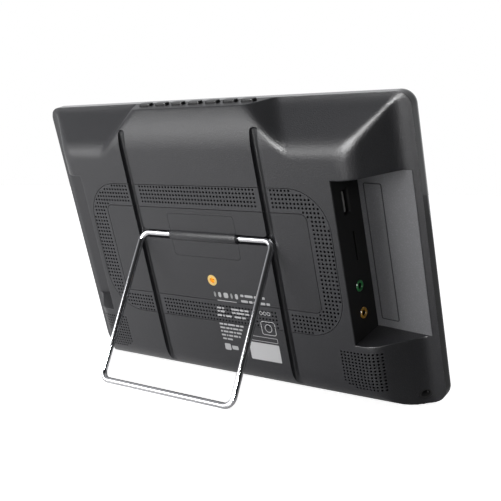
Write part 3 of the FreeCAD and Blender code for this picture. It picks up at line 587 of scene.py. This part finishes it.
# ---- rear cover ----------------------------------------------------------------------
@dataclass
class RearCover:
    """The moulded back: a flat plateau, slopes, the button block, bays, grooves and openings."""

    half_width: float = 131.0
    height: float = 171.0
    back: float = 33.0
    seam: float = 11.0
    corner: float = 8.0
    wall: float = 2.2
    rim: float = 12.6
    shoulder: float = 103.0
    side_foot: float = 123.5
    top_shoulder: float = 148.5
    top_foot: float = 168.5
    bottom_radius: float = 18.5
    ledge: float = 170.9
    ledge_depth: float = 25.5
    block_half: float = 43.5
    flank: tuple = (2.0, 2.46)
    bay_x: float = 92.4
    bay_z: tuple = (40.0, 132.0)
    bay_wall: float = 1.7
    edge: float = 0.5
    step: float = 0.02
    groove_x: float = 49.0
    groove_half: float = 2.7
    groove_floor: float = 29.6
    groove_top: float = 160.5
    bend_relief: float = 1.0
    button_pitch: float = 12.7
    button_depth: float = 16.6
    button_hole: tuple = (5.0, 2.6)
    jack_depth: float = 20.5
    jack_heights: tuple = (69.7, 53.8)
    speaker_x: float = 82.7
    speaker_z: float = 13.6
    speaker_pitch: tuple = (2.12, 1.97)
    hinge_z: float = 96.8

    def slopes(self, x: float, z: float) -> float:
        """Depth of the plateau, its slopes and the rim round them."""
        side = self.back - 0.995 * (x - self.shoulder)
        side = smooth_max(side, self.rim - 0.187 * (x - self.side_foot), 2.6)
        top = self.back - 1.02 * (z - self.top_shoulder)
        top = smooth_max(top, self.rim - 0.56 * (z - self.top_foot), 1.2)
        high = min(max((min(side, top) - self.rim) / 18.0, 0.0), 1.0)
        return smooth_min(self.back, smooth_min(side, top, 1.4 + 4.6 * high), 5.9)

    def block(self, x: float, z: float) -> float:
        """Depth of the raised block that carries the buttons."""
        back = smooth_min(self.back, self.back - 0.652 * (z - 159.4), 7.6)
        outwards, upwards = self.flank
        side = self.ledge_depth + upwards * (self.ledge - z) - outwards * (x - self.block_half)
        return smooth_min(back, side, 8.0)

    def floor(self, x: float) -> float:
        """Depth of a bay's floor."""
        return 7.7 + 4.5 * (x - self.bay_x) / 34.85

    def form(self, x: float, z: float, bottom: float) -> float:
        """Outer form without bays.

        Args:
            x: distance from the middle.
            z: height up the screen.
            bottom: radius of the rounding along the bottom.

        Returns:
            Its depth.
        """
        depth = self.slopes(x, z)
        if 138.0 < z <= self.ledge + 1e-6:
            block = self.block(x, z)
            blend = 4.0 * min(max((self.back - min(depth, block)) / 6.0, 0.0), 1.0)
            depth = smooth_max(depth, block - edge_drop(self.ledge - z, self.edge), blend)
        if z < self.bottom_radius:
            rise = math.sqrt(max(bottom ** 2 - (self.bottom_radius - z) ** 2, 0.0))
            depth = smooth_min(depth, self.back - self.bottom_radius + rise, 0.8)
        return depth

    def outer(self, x: float, z: float) -> float:
        """Depth of the outer surface."""
        across, up = self.bay_x - x, max(self.bay_z[0] - z, z - self.bay_z[1])
        outside = math.hypot(across, up) if min(across, up) > 0 else max(across, up)
        depth = self.form(x, z, self.bottom_radius)
        if outside < -1e-6:
            return min(depth, self.floor(x))
        return depth - (edge_drop(outside, self.edge) if depth > self.floor(x) + 1 else 0.0)

    def inner(self, x: float, z: float) -> float:
        """Depth of the inner surface, lower where something is let into the cover."""
        depth = self.form(x, z, self.bottom_radius - self.wall)
        depth -= self.wall + 0.9 * min(max((self.back - depth) / 4.0, 0.0), 1.0)
        if z < self.bottom_radius:
            rise = math.sqrt(max((self.bottom_radius - self.wall) ** 2 - (self.bottom_radius - z) ** 2, 0.0))
            depth = min(depth, self.back - self.bottom_radius + rise)
        near_leg = abs(x - self.groove_x) < 5.4 and z < self.groove_top + 3
        near_bar = abs(z - self.hinge_z) < 5.4 and x < self.groove_x + 5.4
        if near_leg or near_bar:
            depth = min(depth, self.groove_floor - 1.8)
        if x < 29.0 and 80.0 < z < 114.0 or math.hypot(x, z - 69.5) < 7.0:
            depth = min(depth, 24.0)
        across, up = self.bay_x - self.bay_wall - x, max(self.bay_z[0] - z, z - self.bay_z[1]) - self.bay_wall
        if max(across, up) < -1e-6:
            return self.floor(x) - self.bay_wall if x < 126.0 else self.seam
        return max(depth, self.seam)

    def rounded(self, x: float, z: float, half: float, bottom: float, top: float, radius: float) -> tuple:
        """Moves a grid point so that the outline's corners are round.

        Args:
            x: its place across.
            z: its place up.
            half: the outline's half width.
            bottom: its lower edge.
            top: its upper edge.
            radius: of its corners.

        Returns:
            The new place across and up.
        """
        side = math.copysign(1.0, x)
        u = (abs(x) - (half - radius)) / radius
        for edge, sign in ((bottom, -1.0), (top, 1.0)):
            v = sign * (z - (edge - sign * radius)) / radius
            if u > 0 and v > 0:
                return (side * (half - radius + radius * u * math.sqrt(1 - v * v / 2)),
                        edge - sign * radius + sign * radius * v * math.sqrt(1 - u * u / 2))
        return x, z

    def lines(self) -> tuple:
        """Grid lines across and up."""
        across = [0.0, self.half_width, self.half_width - self.corner, self.side_foot,
                  self.bay_x + self.step]
        across += [self.bay_x - d for d in rounding_lines(self.edge, 4)]
        up = [0.0, self.corner, self.height, self.height - self.corner, self.ledge + self.step]
        up += [self.bottom_radius * (1 - math.cos(math.pi / 2 * i / 12)) for i in range(13)]
        up += [self.bay_z[0] - d for d in rounding_lines(self.edge, 4)] + [self.bay_z[0] + self.step]
        up += [self.bay_z[1] + d for d in rounding_lines(self.edge, 4)] + [self.bay_z[1] - self.step]
        up += [self.ledge - d for d in rounding_lines(self.edge, 4)]
        right = spread(across, lambda x: 1.2 if x > self.shoulder - 7 else 2.2)
        return ([-x for x in reversed(right[1:])] + right,
                spread(up, lambda z: 1.2 if z > self.top_shoulder - 8 else 2.4))

    def shell(self) -> bmesh.types.BMesh:
        """Closed shell between the outer and inner surfaces, before anything is cut."""
        xs, zs = self.lines()
        columns = len(xs)
        inside_x = ((0.0, 0.0), (self.bay_x, self.bay_x - self.bay_wall),
                    (self.bay_x + self.step, self.bay_x - self.bay_wall + self.step),
                    (self.half_width - self.corner, self.half_width - self.corner),
                    (self.half_width, self.half_width - self.wall))
        low, high = self.bay_z
        inside_z = ((0.0, self.wall), (self.corner, self.corner), (low, low - self.bay_wall),
                    (low + self.step, low - self.bay_wall + self.step),
                    (high - self.step, high + self.bay_wall - self.step), (high, high + self.bay_wall),
                    (self.height - self.corner, self.height - self.corner),
                    (self.ledge, self.ledge - self.wall),
                    (self.ledge + self.step, self.ledge - self.wall + self.step),
                    (self.height, self.height - self.wall))
        bm = bmesh.new()
        made = bmesh.ops.create_grid(bm, x_segments=columns - 1, y_segments=len(zs) - 1, size=1.0)["verts"]
        bm.verts.index_update()
        copy = bmesh.ops.duplicate(bm, geom=list(bm.verts) + list(bm.edges) + list(bm.faces))
        twins = copy["vert_map"]
        for number, vert in enumerate(made):
            x, z = xs[number % columns], zs[number // columns]
            twin = twins[vert]
            px, pz = self.rounded(x, z, self.half_width, 0.0, self.height, self.corner)
            vert.co = (px, self.outer(abs(px), pz), pz)
            x = math.copysign(interpolate(abs(x), inside_x), x)
            z = interpolate(z, inside_z)
            px, pz = self.rounded(x, z, self.half_width - self.wall, self.wall, self.height - self.wall,
                                  self.corner - self.wall)
            twin.co = (px, self.inner(abs(px), pz), pz)
        rims = []
        outside = set(made)
        for wanted in (True, False):
            border = [e for e in bm.edges if e.is_boundary and (e.verts[0] in outside) == wanted
                      and len(e.link_faces) == 1]
            rims.append(border)
        lips = []
        for border in rims:
            grown = bmesh.ops.extrude_edge_only(bm, edges=border)["geom"]
            for vert in (g for g in grown if isinstance(g, bmesh.types.BMVert)):
                vert.co.y = self.seam
            lips += [g for g in grown if isinstance(g, bmesh.types.BMEdge)
                     and all(v in grown for v in g.verts) and len(g.link_faces) == 1]
        bmesh.ops.bridge_loops(bm, edges=lips)
        bmesh.ops.dissolve_degenerate(bm, dist=1e-4, edges=bm.edges)
        bmesh.ops.recalc_face_normals(bm, faces=bm.faces)
        return bm

    def ring(self, inset: float, y: tuple) -> bmesh.types.BMesh:
        """Solid of the vent ring's recess, drawn in on both sides."""
        bm = bmesh.new()
        outer = outline(bm, (-88.6 + inset, 88.6 - inset), (42.5 + inset, 127.8 - inset), y[0],
                        24.0 - inset, 12)
        borders = list(outer.edges)
        bmesh.ops.delete(bm, geom=[outer], context="FACES_ONLY")
        inner = outline(bm, (-74.4 - inset, 74.4 + inset), (56.7 - inset, 113.6 + inset), y[0],
                        4.0 + inset, 12)
        borders += list(inner.edges)
        bmesh.ops.delete(bm, geom=[inner], context="FACES_ONLY")
        band = bmesh.ops.bridge_loops(bm, edges=borders)["faces"]
        raise_face(bm, band, Vector((0, y[1] - y[0], 0)))
        bmesh.ops.recalc_face_normals(bm, faces=bm.faces)
        return bm

    def through_ring(self) -> bmesh.types.BMesh:
        """Openings behind the grilles, which stop short of the stand's grooves."""
        bm = self.ring(1.2, (22.0, self.back + 1))
        for side in (-1, 1):
            reach = self.groove_half + 1.6
            for offset in (-reach, reach):
                geom = list(bm.verts) + list(bm.edges) + list(bm.faces)
                bmesh.ops.bisect_plane(bm, geom=geom, plane_co=(side * self.groove_x + offset, 0, 0),
                                       plane_no=(1, 0, 0))
            strip = [f for f in bm.faces
                     if abs(f.calc_center_median().x - side * self.groove_x) < reach - 1e-3]
            bmesh.ops.delete(bm, geom=strip, context="FACES")
            bmesh.ops.holes_fill(bm, edges=[e for e in bm.edges if e.is_boundary])
        bmesh.ops.recalc_face_normals(bm, faces=bm.faces)
        return bm

    def grooves(self) -> list:
        """Cutters of the two leg grooves, the bar between them and the relief of the wire's bends."""
        legs = []
        for side in (-1, 1):
            x = (side * self.groove_x - self.groove_half, side * self.groove_x + self.groove_half)
            legs.append(slab(x, (self.groove_floor, self.back + 3), (-12.0, self.groove_top),
                             self.groove_half - 0.4, segments=8, low_edge=1.5))
        z = (self.hinge_z - self.groove_half, self.hinge_z + self.groove_half)
        bar = slab((-self.groove_x, self.groove_x), (self.groove_floor, self.back + 3), z, low_edge=1.5)
        depth = self.back + 3 - self.groove_floor
        corners = [rod((across * (self.groove_x - self.groove_half), self.groove_floor,
                        self.hinge_z + up * self.groove_half), "y", depth, self.bend_relief)
                   for across in (-1, 1) for up in (-1, 1)]
        return [joined(legs), bar, joined(corners)]

    def ports(self, side: int) -> list:
        """Openings in the wall of one bay."""
        wall = tuple(sorted((side * 88.0, side * 94.0)))
        if side < 0:
            jacks = [rod((wall[0], self.jack_depth, height), "x", 6.0, 3.25) for height in self.jack_heights]
            return [slab(wall, (18.0, 24.4), (110.5, 124.3)), slab(wall, (17.5, 19.3), (83.0, 100.0)), *jacks]
        return [rod((wall[0], self.jack_depth, 108.0), "x", 6.0, 3.65),
                slab(wall, (18.7, 22.3), (63.2, 70.8))]

    def openings(self) -> list:
        """Cutters of everything else that is let into the cover or goes through it."""
        pocket = slab((-24.95, 24.95), (31.2, self.back + 2), (83.85, 110.35), 2.0)
        trough = rod((-24.95, 31.7, self.hinge_z), "x", 49.9, 3.7, 32)
        insert = rod((0, 25.0, 69.5), "y", 10.0, 3.4)
        holes = [rod((side * (self.speaker_x + self.speaker_pitch[0] * column), 14.0,
                      self.speaker_z + self.speaker_pitch[1] * row), "y", 22.0, 0.625, 10)
                 for side in (-1, 1) for row in range(12) for column in range((3, 1)[row] if row < 2 else 0, 12)]
        buttons = []
        for number in range(7):
            x = (number - 3) * self.button_pitch
            bm = slab((x - self.button_hole[0], x + self.button_hole[0]), (0.0, 6.0),
                      (-self.button_depth - self.button_hole[1], -self.button_depth + self.button_hole[1]), 2.5)
            turn = Matrix.Translation((0, 0, 167.5)) @ Matrix.Rotation(math.radians(90), 4, "X")
            bmesh.ops.transform(bm, matrix=turn, verts=bm.verts)
            buttons.append(bm)
        plates = [slab(tuple(sorted((side * 91.2, side * 93.5))), (10.7, 30.0), (43.0, 129.0))
                  for side in (-1, 1)]
        power = rod((-120.9, 8.0, 6.2), "y", 16.0, 2.85)
        screws = [rod((side * 70.0, 15.2, -2.0), "z", 3.5, 2.45) for side in (-1, 1)]
        return [pocket, trough, insert, joined(holes), joined(buttons), joined(plates),
                joined(self.ports(-1) + self.ports(1) + [power] + screws)]

    def build(self) -> bpy.types.Object:
        """Makes the cover; returns its piece."""
        cutters = [self.ring(0.0, (31.5, self.back + 1)), self.through_ring(), *self.grooves(),
                   *self.openings()]
        cover = piece(carved(self.shell(), cutters), "rear_cover_skin", Finishes.COVER, "cover_plastic",
                      sharp=38.0)
        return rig.replaces(cover, "rear_cover")


# ---- CAD nodes that stay ---------------------------------------------------------------
@dataclass
class CarriedNodes:
    """Finishes and softened edges for the CAD nodes that are shown as they are."""

    finishes: dict = field(default_factory=lambda: {
        slot.value.name: slot for slot in Finishes})
    # The USB shell takes the black port finish in place of its record's finish: painted shade, as dark as it shows in
    # the shaded bay.
    painted_shade_finishes: dict = field(default_factory=lambda: {"usb_shell": Finishes.PORT})
    softened: dict = field(default_factory=lambda: {
        "usb_shell": 0.15, "usb_tongue": 0.2, "hinge_cover": 0.3, "hinge_flap": 0.3,
        "mount_insert": 0.3, "dc_jack": 0.2,
        "power_switch_knob": 0.3, "antenna_socket": 0.3})

    def dress(self) -> None:
        """Gives every CAD node its finish, and some of them rounded edges."""
        slots = {part["node"]: part["material_slot"] for part in frame["record"]["subparts"]}
        for name, obj in frame["nodes"].items():
            material = self.painted_shade_finishes.get(name, self.finishes[slots[name]]).material()
            for place in obj.material_slots:
                place.material = material
            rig.slot(obj, slots[name])
            if name in self.softened:
                weld = obj.modifiers.new("weld", "WELD")
                weld.merge_threshold = 0.00001
                bevel = obj.modifiers.new("soft_edges", "BEVEL")
                bevel.width = self.softened[name] * MM
                bevel.segments = 2
                bevel.limit_method = "ANGLE"
                bevel.angle_limit = math.radians(35)
            LOG.info("%s dressed", name)


# ---- details on the back ----------------------------------------------------------------
@dataclass
class SocketBays:
    """Black sheets laid over the two bay walls as painted shade, turned jack rings, and the raised label beside the
    sockets.
    """

    cover: RearCover = field(default_factory=RearCover)
    # Thickness of the black sheets laid over the bay walls as painted shade.
    shade_liner: float = 0.15
    floor_end: float = 127.4
    label_x: tuple = (-107.6, -96.0)
    label_z: tuple = (45.0, 123.5)
    line: float = 0.5
    rise: float = 0.35

    def on_floor(self, bm: bmesh.types.BMesh) -> bmesh.types.BMesh:
        """Sets a mesh drawn round zero depth on the bay's sloping floor; returns it."""
        for vert in bm.verts:
            vert.co.y += self.cover.floor(abs(vert.co.x))
        return bm

    def frame(self, x: tuple, z: tuple, line: float, rise: float, radius: float) -> bmesh.types.BMesh:
        """Raised rounded outline on the floor.

        Args:
            x: its ends across.
            z: its ends up.
            line: width of its line.
            rise: how far it stands up.
            radius: of its outer corners.

        Returns:
            The closed mesh.
        """
        outer = slab(x, (-0.15, rise), z, radius)
        inner = slab((x[0] + line, x[1] - line), (-1.0, rise + 1.0), (z[0] + line, z[1] - line),
                     max(radius - line, 0.1))
        return self.on_floor(carved(outer, [inner]))

    def bar(self, x: tuple, z: tuple, rise: float = 0.2) -> bmesh.types.BMesh:
        """Raised bar on the floor, with round ends; returns its mesh."""
        return self.on_floor(slab(x, (-0.1, rise), z, 0.45 * min(x[1] - x[0], z[1] - z[0])))

    def build(self) -> None:
        """Makes the pieces of both bays."""
        bottom, top = self.cover.bay_z
        for side, name in ((-1, "socket"), (1, "aerial")):
            # A thin black sheet in the port plastic over each bay wall: painted shade on the wall.
            wall = slab(tuple(sorted((side * self.cover.bay_x, side * (self.cover.bay_x + self.shade_liner)))),
                        (self.cover.floor(self.cover.bay_x) + 0.1, self.cover.back - self.cover.edge),
                        (bottom + 0.1, top - 0.1))
            piece(carved(wall, [joined(self.cover.ports(side))]), name + "_bay_wall", Finishes.PORT,
                  "port_plastic")
        # Lighter floor patch over the socket bay's floor: painted light, where the floor catches the light.
        floor = slab((-self.floor_end, -self.cover.bay_x - 0.3), (-0.3, 0.05), (bottom + 0.4, top - 0.4))
        piece(self.on_floor(floor), "socket_bay_floor", Finishes.BAY, "cover_plastic")
        self.rings()
        piece(self.frame(self.label_x, self.label_z, self.line, self.rise, 1.2), "label_frame",
              Finishes.GRILLE, "cover_plastic")
        # The label's line and marks carry the same painted light as the floor under them.
        inner_line = (self.label_x[1] - 1.7, self.label_x[1] - 1.4)
        piece(self.bar(inner_line, (self.label_z[0] + 1.5, self.label_z[1] - 1.5)), "label_line",
              Finishes.BAY, "cover_plastic")
        piece(self.marks(), "label_marks", Finishes.BAY, "cover_plastic")

    def marks(self) -> bmesh.types.BMesh:
        """Plain pictograms: a card, three bars, an arch with two pads, and a disc with a bar."""
        middle = -102.8
        card = self.frame((middle - 1.9, middle + 1.9), (110.6, 115.4), 0.4, 0.2, 0.5)
        bars = [self.bar((middle - 1.8 + 1.35 * number, middle - 0.9 + 1.35 * number), (90.6, 99.4 - number))
                for number in range(3)]
        pads = [self.bar((middle + 0.4, middle + 1.8), (z, z + 0.9)) for z in (69.3, 72.7)]
        arch = self.frame((middle - 1.8, middle + 0.6), (69.3, 73.6), 0.4, 0.2, 1.1)
        disc = self.frame((middle - 1.5, middle + 1.5), (53.2, 56.2), 0.4, 0.2, 1.4)
        stem = self.bar((middle - 0.4, middle + 0.4), (49.8, 52.4))
        return joined([card, *bars, *pads, arch, disc, stem])

    def rings(self) -> None:
        """Turned ring and dark sleeve of each round socket."""
        outer, inner, proud, steps = 3.1, 1.8, 0.8, 8
        middle, half = (outer + inner) / 2, (outer - inner) / 2
        bead = [(middle - half * math.cos(math.pi * step / steps),
                 -proud * math.sin(math.pi * step / steps) - self.shade_liner) for step in range(steps + 1)]
        sleeve = [(inner, 0.0), (outer, 0.0), (outer, 1.6), (inner, 1.6)]
        sockets = (("headphone_ring", Finishes.GREEN), ("av_ring", Finishes.AMBER))
        for (name, finish), height in zip(sockets, self.cover.jack_heights):
            place = (-self.cover.bay_x, self.cover.jack_depth, height)
            ring = piece(spun([(inner, 0.0), *bead, (outer, 0.0)], place), name + "_skin", finish,
                         finish.value.name)
            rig.replaces(ring, name)
            piece(spun(sleeve, place), name + "_sleeve", Finishes.PORT, "port_plastic")


@dataclass
class BackPrint:
    """Plain printed bars, outlines and a pale plate, low on the flat back."""

    face: float = 33.0
    height: float = 0.03

    def bar(self, x: tuple, z: tuple, radius: float = 0.3, height: float = 0.03) -> bmesh.types.BMesh:
        """Printed patch; returns its mesh."""
        return slab(tuple(sorted(x)), (self.face - 0.02, self.face + height), z, radius, segments=3)

    def outlined(self, x: tuple, z: tuple, line: float, radius: float) -> bmesh.types.BMesh:
        """Printed outline of a rounded box; returns its mesh."""
        inner = slab((x[0] + line, x[1] - line), (self.face - 1.0, self.face + 1.0),
                     (z[0] + line, z[1] - line), radius - line, segments=3)
        return carved(self.bar(x, z, radius), [inner])

    def row(self, start: float, end: float, z: float, size: float, words: int) -> list:
        """Line of plain bars of unequal lengths.

        Args:
            start: where it starts, at +X.
            end: where it ends, at -X.
            z: its middle.
            size: its height.
            words: how many bars it has.

        Returns:
            The bars' meshes.
        """
        shares = [1.0 + 0.5 * math.sin(2.1 * number + z) for number in range(words)]
        gap = 0.55 * size
        unit = (start - end - gap * (words - 1)) / sum(shares)
        bars, place = [], start
        for share in shares:
            bars.append(self.bar((place - unit * share, place), (z - size / 2, z + size / 2), 0.3 * size))
            place -= unit * share + gap
        return bars

    def build(self) -> None:
        """Makes the print and the plate."""
        heading = [*self.row(0.8, -17.2, 60.6, 3.4, 5), self.bar((-15.4, -1.0), (56.6, 57.1), 0.2)]
        rows = [*self.row(-19.2, -36.7, 61.6, 1.5, 4), *self.row(-19.0, -39.7, 58.1, 1.5, 5)]
        for z in (51.9, 49.7):
            rows += [*self.row(0.7, -4.7, z, 1.2, 2), *self.row(-10.1, -23.0, z, 1.2, 3)]
        rows += [*self.row(1.4, -9.4, 47.0, 1.2, 3), *self.row(-11.5, -19.8, 47.0, 1.2, 2)]
        rows += [bar for number in range(4)
                 for bar in self.row(1.3, -16.9 + 1.3 * number, 41.3 - 2.45 * number, 1.1, 5)]
        rows += self.row(0.9, -6.5, 31.5, 1.1, 2)
        circles = [self.outlined((x - 1.25, x + 1.25), (50.8, 53.3), 0.4, 1.2)
                   for x in (-31.9, -34.6, -37.3)]
        box = self.outlined((-40.5, -30.2), (38.2, 47.0), 0.45, 1.6)
        disc = self.outlined((-38.0, -32.7), (40.0, 45.3), 0.45, 2.6)
        mark = [self.bar((-4.0, 0.6), (24.0, 28.3), 0.8), self.bar((-9.6, -4.9), (24.8, 27.4), 0.5)]
        header = self.outlined((-40.4, -19.2), (33.4, 36.6), 0.35, 0.6)
        piece(joined([*heading, *rows, *circles, box, disc, *mark, header]), "back_print", Finishes.PRINT)
        piece(self.bar((-40.6, -18.8), (20.9, 32.3), 0.5, 0.08), "type_plate", Finishes.PLATE)


# ---- studio ---------------------------------------------------------------------------------
@dataclass
class Studio:
    """Floor, light and camera."""

    camera_place: tuple = (-0.33175, 0.39847, 0.12186)
    camera_ahead: tuple = (0.60863, -0.78905, -0.08342)
    camera_up: tuple = (0.06562, -0.05471, 0.99633)
    lens: float = 63.51
    floor_slope: float = 2.6
    floor_level: float = 0.42
    floor_seen: float = 0.85
    room_level: float = 0.28
    room_across: float = 0.35

    def build(self) -> None:
        """Sets the studio up."""
        self.floor()
        self.world()
        key = self.light("key_softbox", (-0.19, 1.0, 0.30), (0.0, 0.0, 0.1), 0.3, 26.0)
        key.visible_diffuse = False
        self.light("fill_softbox", (0.8, 1.1, 0.15), (0.0, 0.0, 0.08), 0.9, 16.0)
        self.camera()
        bpy.context.scene.view_settings.view_transform = "Standard"

    def floor(self) -> None:
        """Pale floor, which is not part of the object."""
        bm = bmesh.new()
        bmesh.ops.create_grid(bm, x_segments=1, y_segments=1, size=6.0)
        mesh = bpy.data.meshes.new("floor")
        bm.to_mesh(mesh)
        bm.free()
        material = Finishes.FLOOR.material()
        bench = NodeBench(material.node_tree)
        shader = material.node_tree.nodes["Principled BSDF"]
        shader.inputs["Emission Color"].default_value = (1.0, 1.0, 1.0, 1.0)
        camera = bench.add("LightPath").outputs["Is Camera Ray"]
        place = bench.add("SeparateXYZ", Vector=bench.add("TexCoord").outputs["Object"])
        glow = bench.math("ADD", bench.math("MULTIPLY", place.outputs[0], self.floor_slope), self.floor_level)
        glow = bench.math("MINIMUM", bench.math("MAXIMUM", glow, 0.02), 0.75)
        seen = bench.math("MULTIPLY", camera, self.floor_seen)
        unseen = bench.math("MULTIPLY", bench.math("SUBTRACT", 1.0, camera), glow)
        bench.set(shader, "Emission Strength", bench.math("MAXIMUM", seen, unseen))
        shade = bench.math("ADD", bench.math("MULTIPLY", camera, 0.66), 0.2)
        grey = bench.add("CombineColor", Red=shade, Green=shade, Blue=shade)
        bench.set(shader, "Base Color", grey.outputs[0])
        mesh.materials.append(material)
        floor = bpy.data.objects.new("floor", mesh)
        bpy.context.scene.collection.objects.link(floor)
        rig.stage(floor)

    def world(self) -> None:
        """White room for the camera; a soft one, darker on one side, for the object."""
        world = bpy.data.worlds.new("studio")
        bpy.context.scene.world = world
        world.use_nodes = True
        bench = NodeBench(world.node_tree)
        world.node_tree.nodes.clear()
        direction = bench.add("TexCoord").outputs["Generated"]
        parts = bench.add("SeparateXYZ", Vector=direction)
        across = bench.math("SUBTRACT", parts.outputs[0], parts.outputs[1])
        across = bench.math("MULTIPLY", across, self.room_across)
        level = bench.math("ADD", bench.math("ADD", self.room_level, across),
                           bench.math("MULTIPLY", parts.outputs[2], 0.05))
        level = bench.math("MAXIMUM", level, 0.03)
        soft = bench.add("Background", Color=(0.97, 0.98, 1.0, 1.0), Strength=level)
        seen = bench.add("Background", Color=(1.0, 1.0, 1.0, 1.0), Strength=1.0)
        camera = bench.add("LightPath").outputs["Is Camera Ray"]
        mix = bench.add("MixShader")
        bench.set(mix, "0", camera)
        bench.set(mix, "1", soft.outputs[0])
        bench.set(mix, "2", seen.outputs[0])
        sink = bench.add("OutputWorld")
        bench.set(sink, "Surface", mix.outputs[0])

    def light(self, name: str, place: tuple, target: tuple, size: float,
              power: float) -> bpy.types.Object:
        """Square soft light.

        Args:
            name: the light's name.
            place: where it stands.
            target: what it faces.
            size: its side.
            power: in watts.

        Returns:
            The lamp.
        """
        data = bpy.data.lights.new(name, "AREA")
        data.shape, data.size, data.energy = "SQUARE", size, power
        lamp = bpy.data.objects.new(name, data)
        bpy.context.scene.collection.objects.link(lamp)
        lamp.location = place
        lamp.rotation_euler = (Vector(target) - Vector(place)).to_track_quat("-Z", "Y").to_euler()
        return lamp

    def camera(self) -> None:
        """Camera at three quarters from behind."""
        data = bpy.data.cameras.new("camera")
        data.lens, data.sensor_width = self.lens, 36.0
        data.clip_start, data.clip_end = 0.01, 50.0
        camera = bpy.data.objects.new("camera", data)
        bpy.context.scene.collection.objects.link(camera)
        ahead = Vector(self.camera_ahead).normalized()
        right = ahead.cross(Vector(self.camera_up)).normalized()
        turn = Matrix((right, right.cross(ahead), -ahead)).transposed().to_4x4()
        camera.matrix_world = Matrix.Translation(self.camera_place) @ turn
        bpy.context.scene.camera = camera


def main() -> None:
    """Builds every sub-assembly in order and writes the two boxes."""
    logging.basicConfig(level=logging.INFO, format="%(name)s %(message)s")
    CarriedNodes().dress()
    RearCover().build()
    SocketBays().build()
    BackPrint().build()
    Studio().build()
    with open("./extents.json", "w") as file:
        json.dump({"cad": [list(corner) for corner in CAD_BOX],
                   "visual": [list(corner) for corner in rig.bounds()]}, file)


if __name__ == "__main__":
    main()
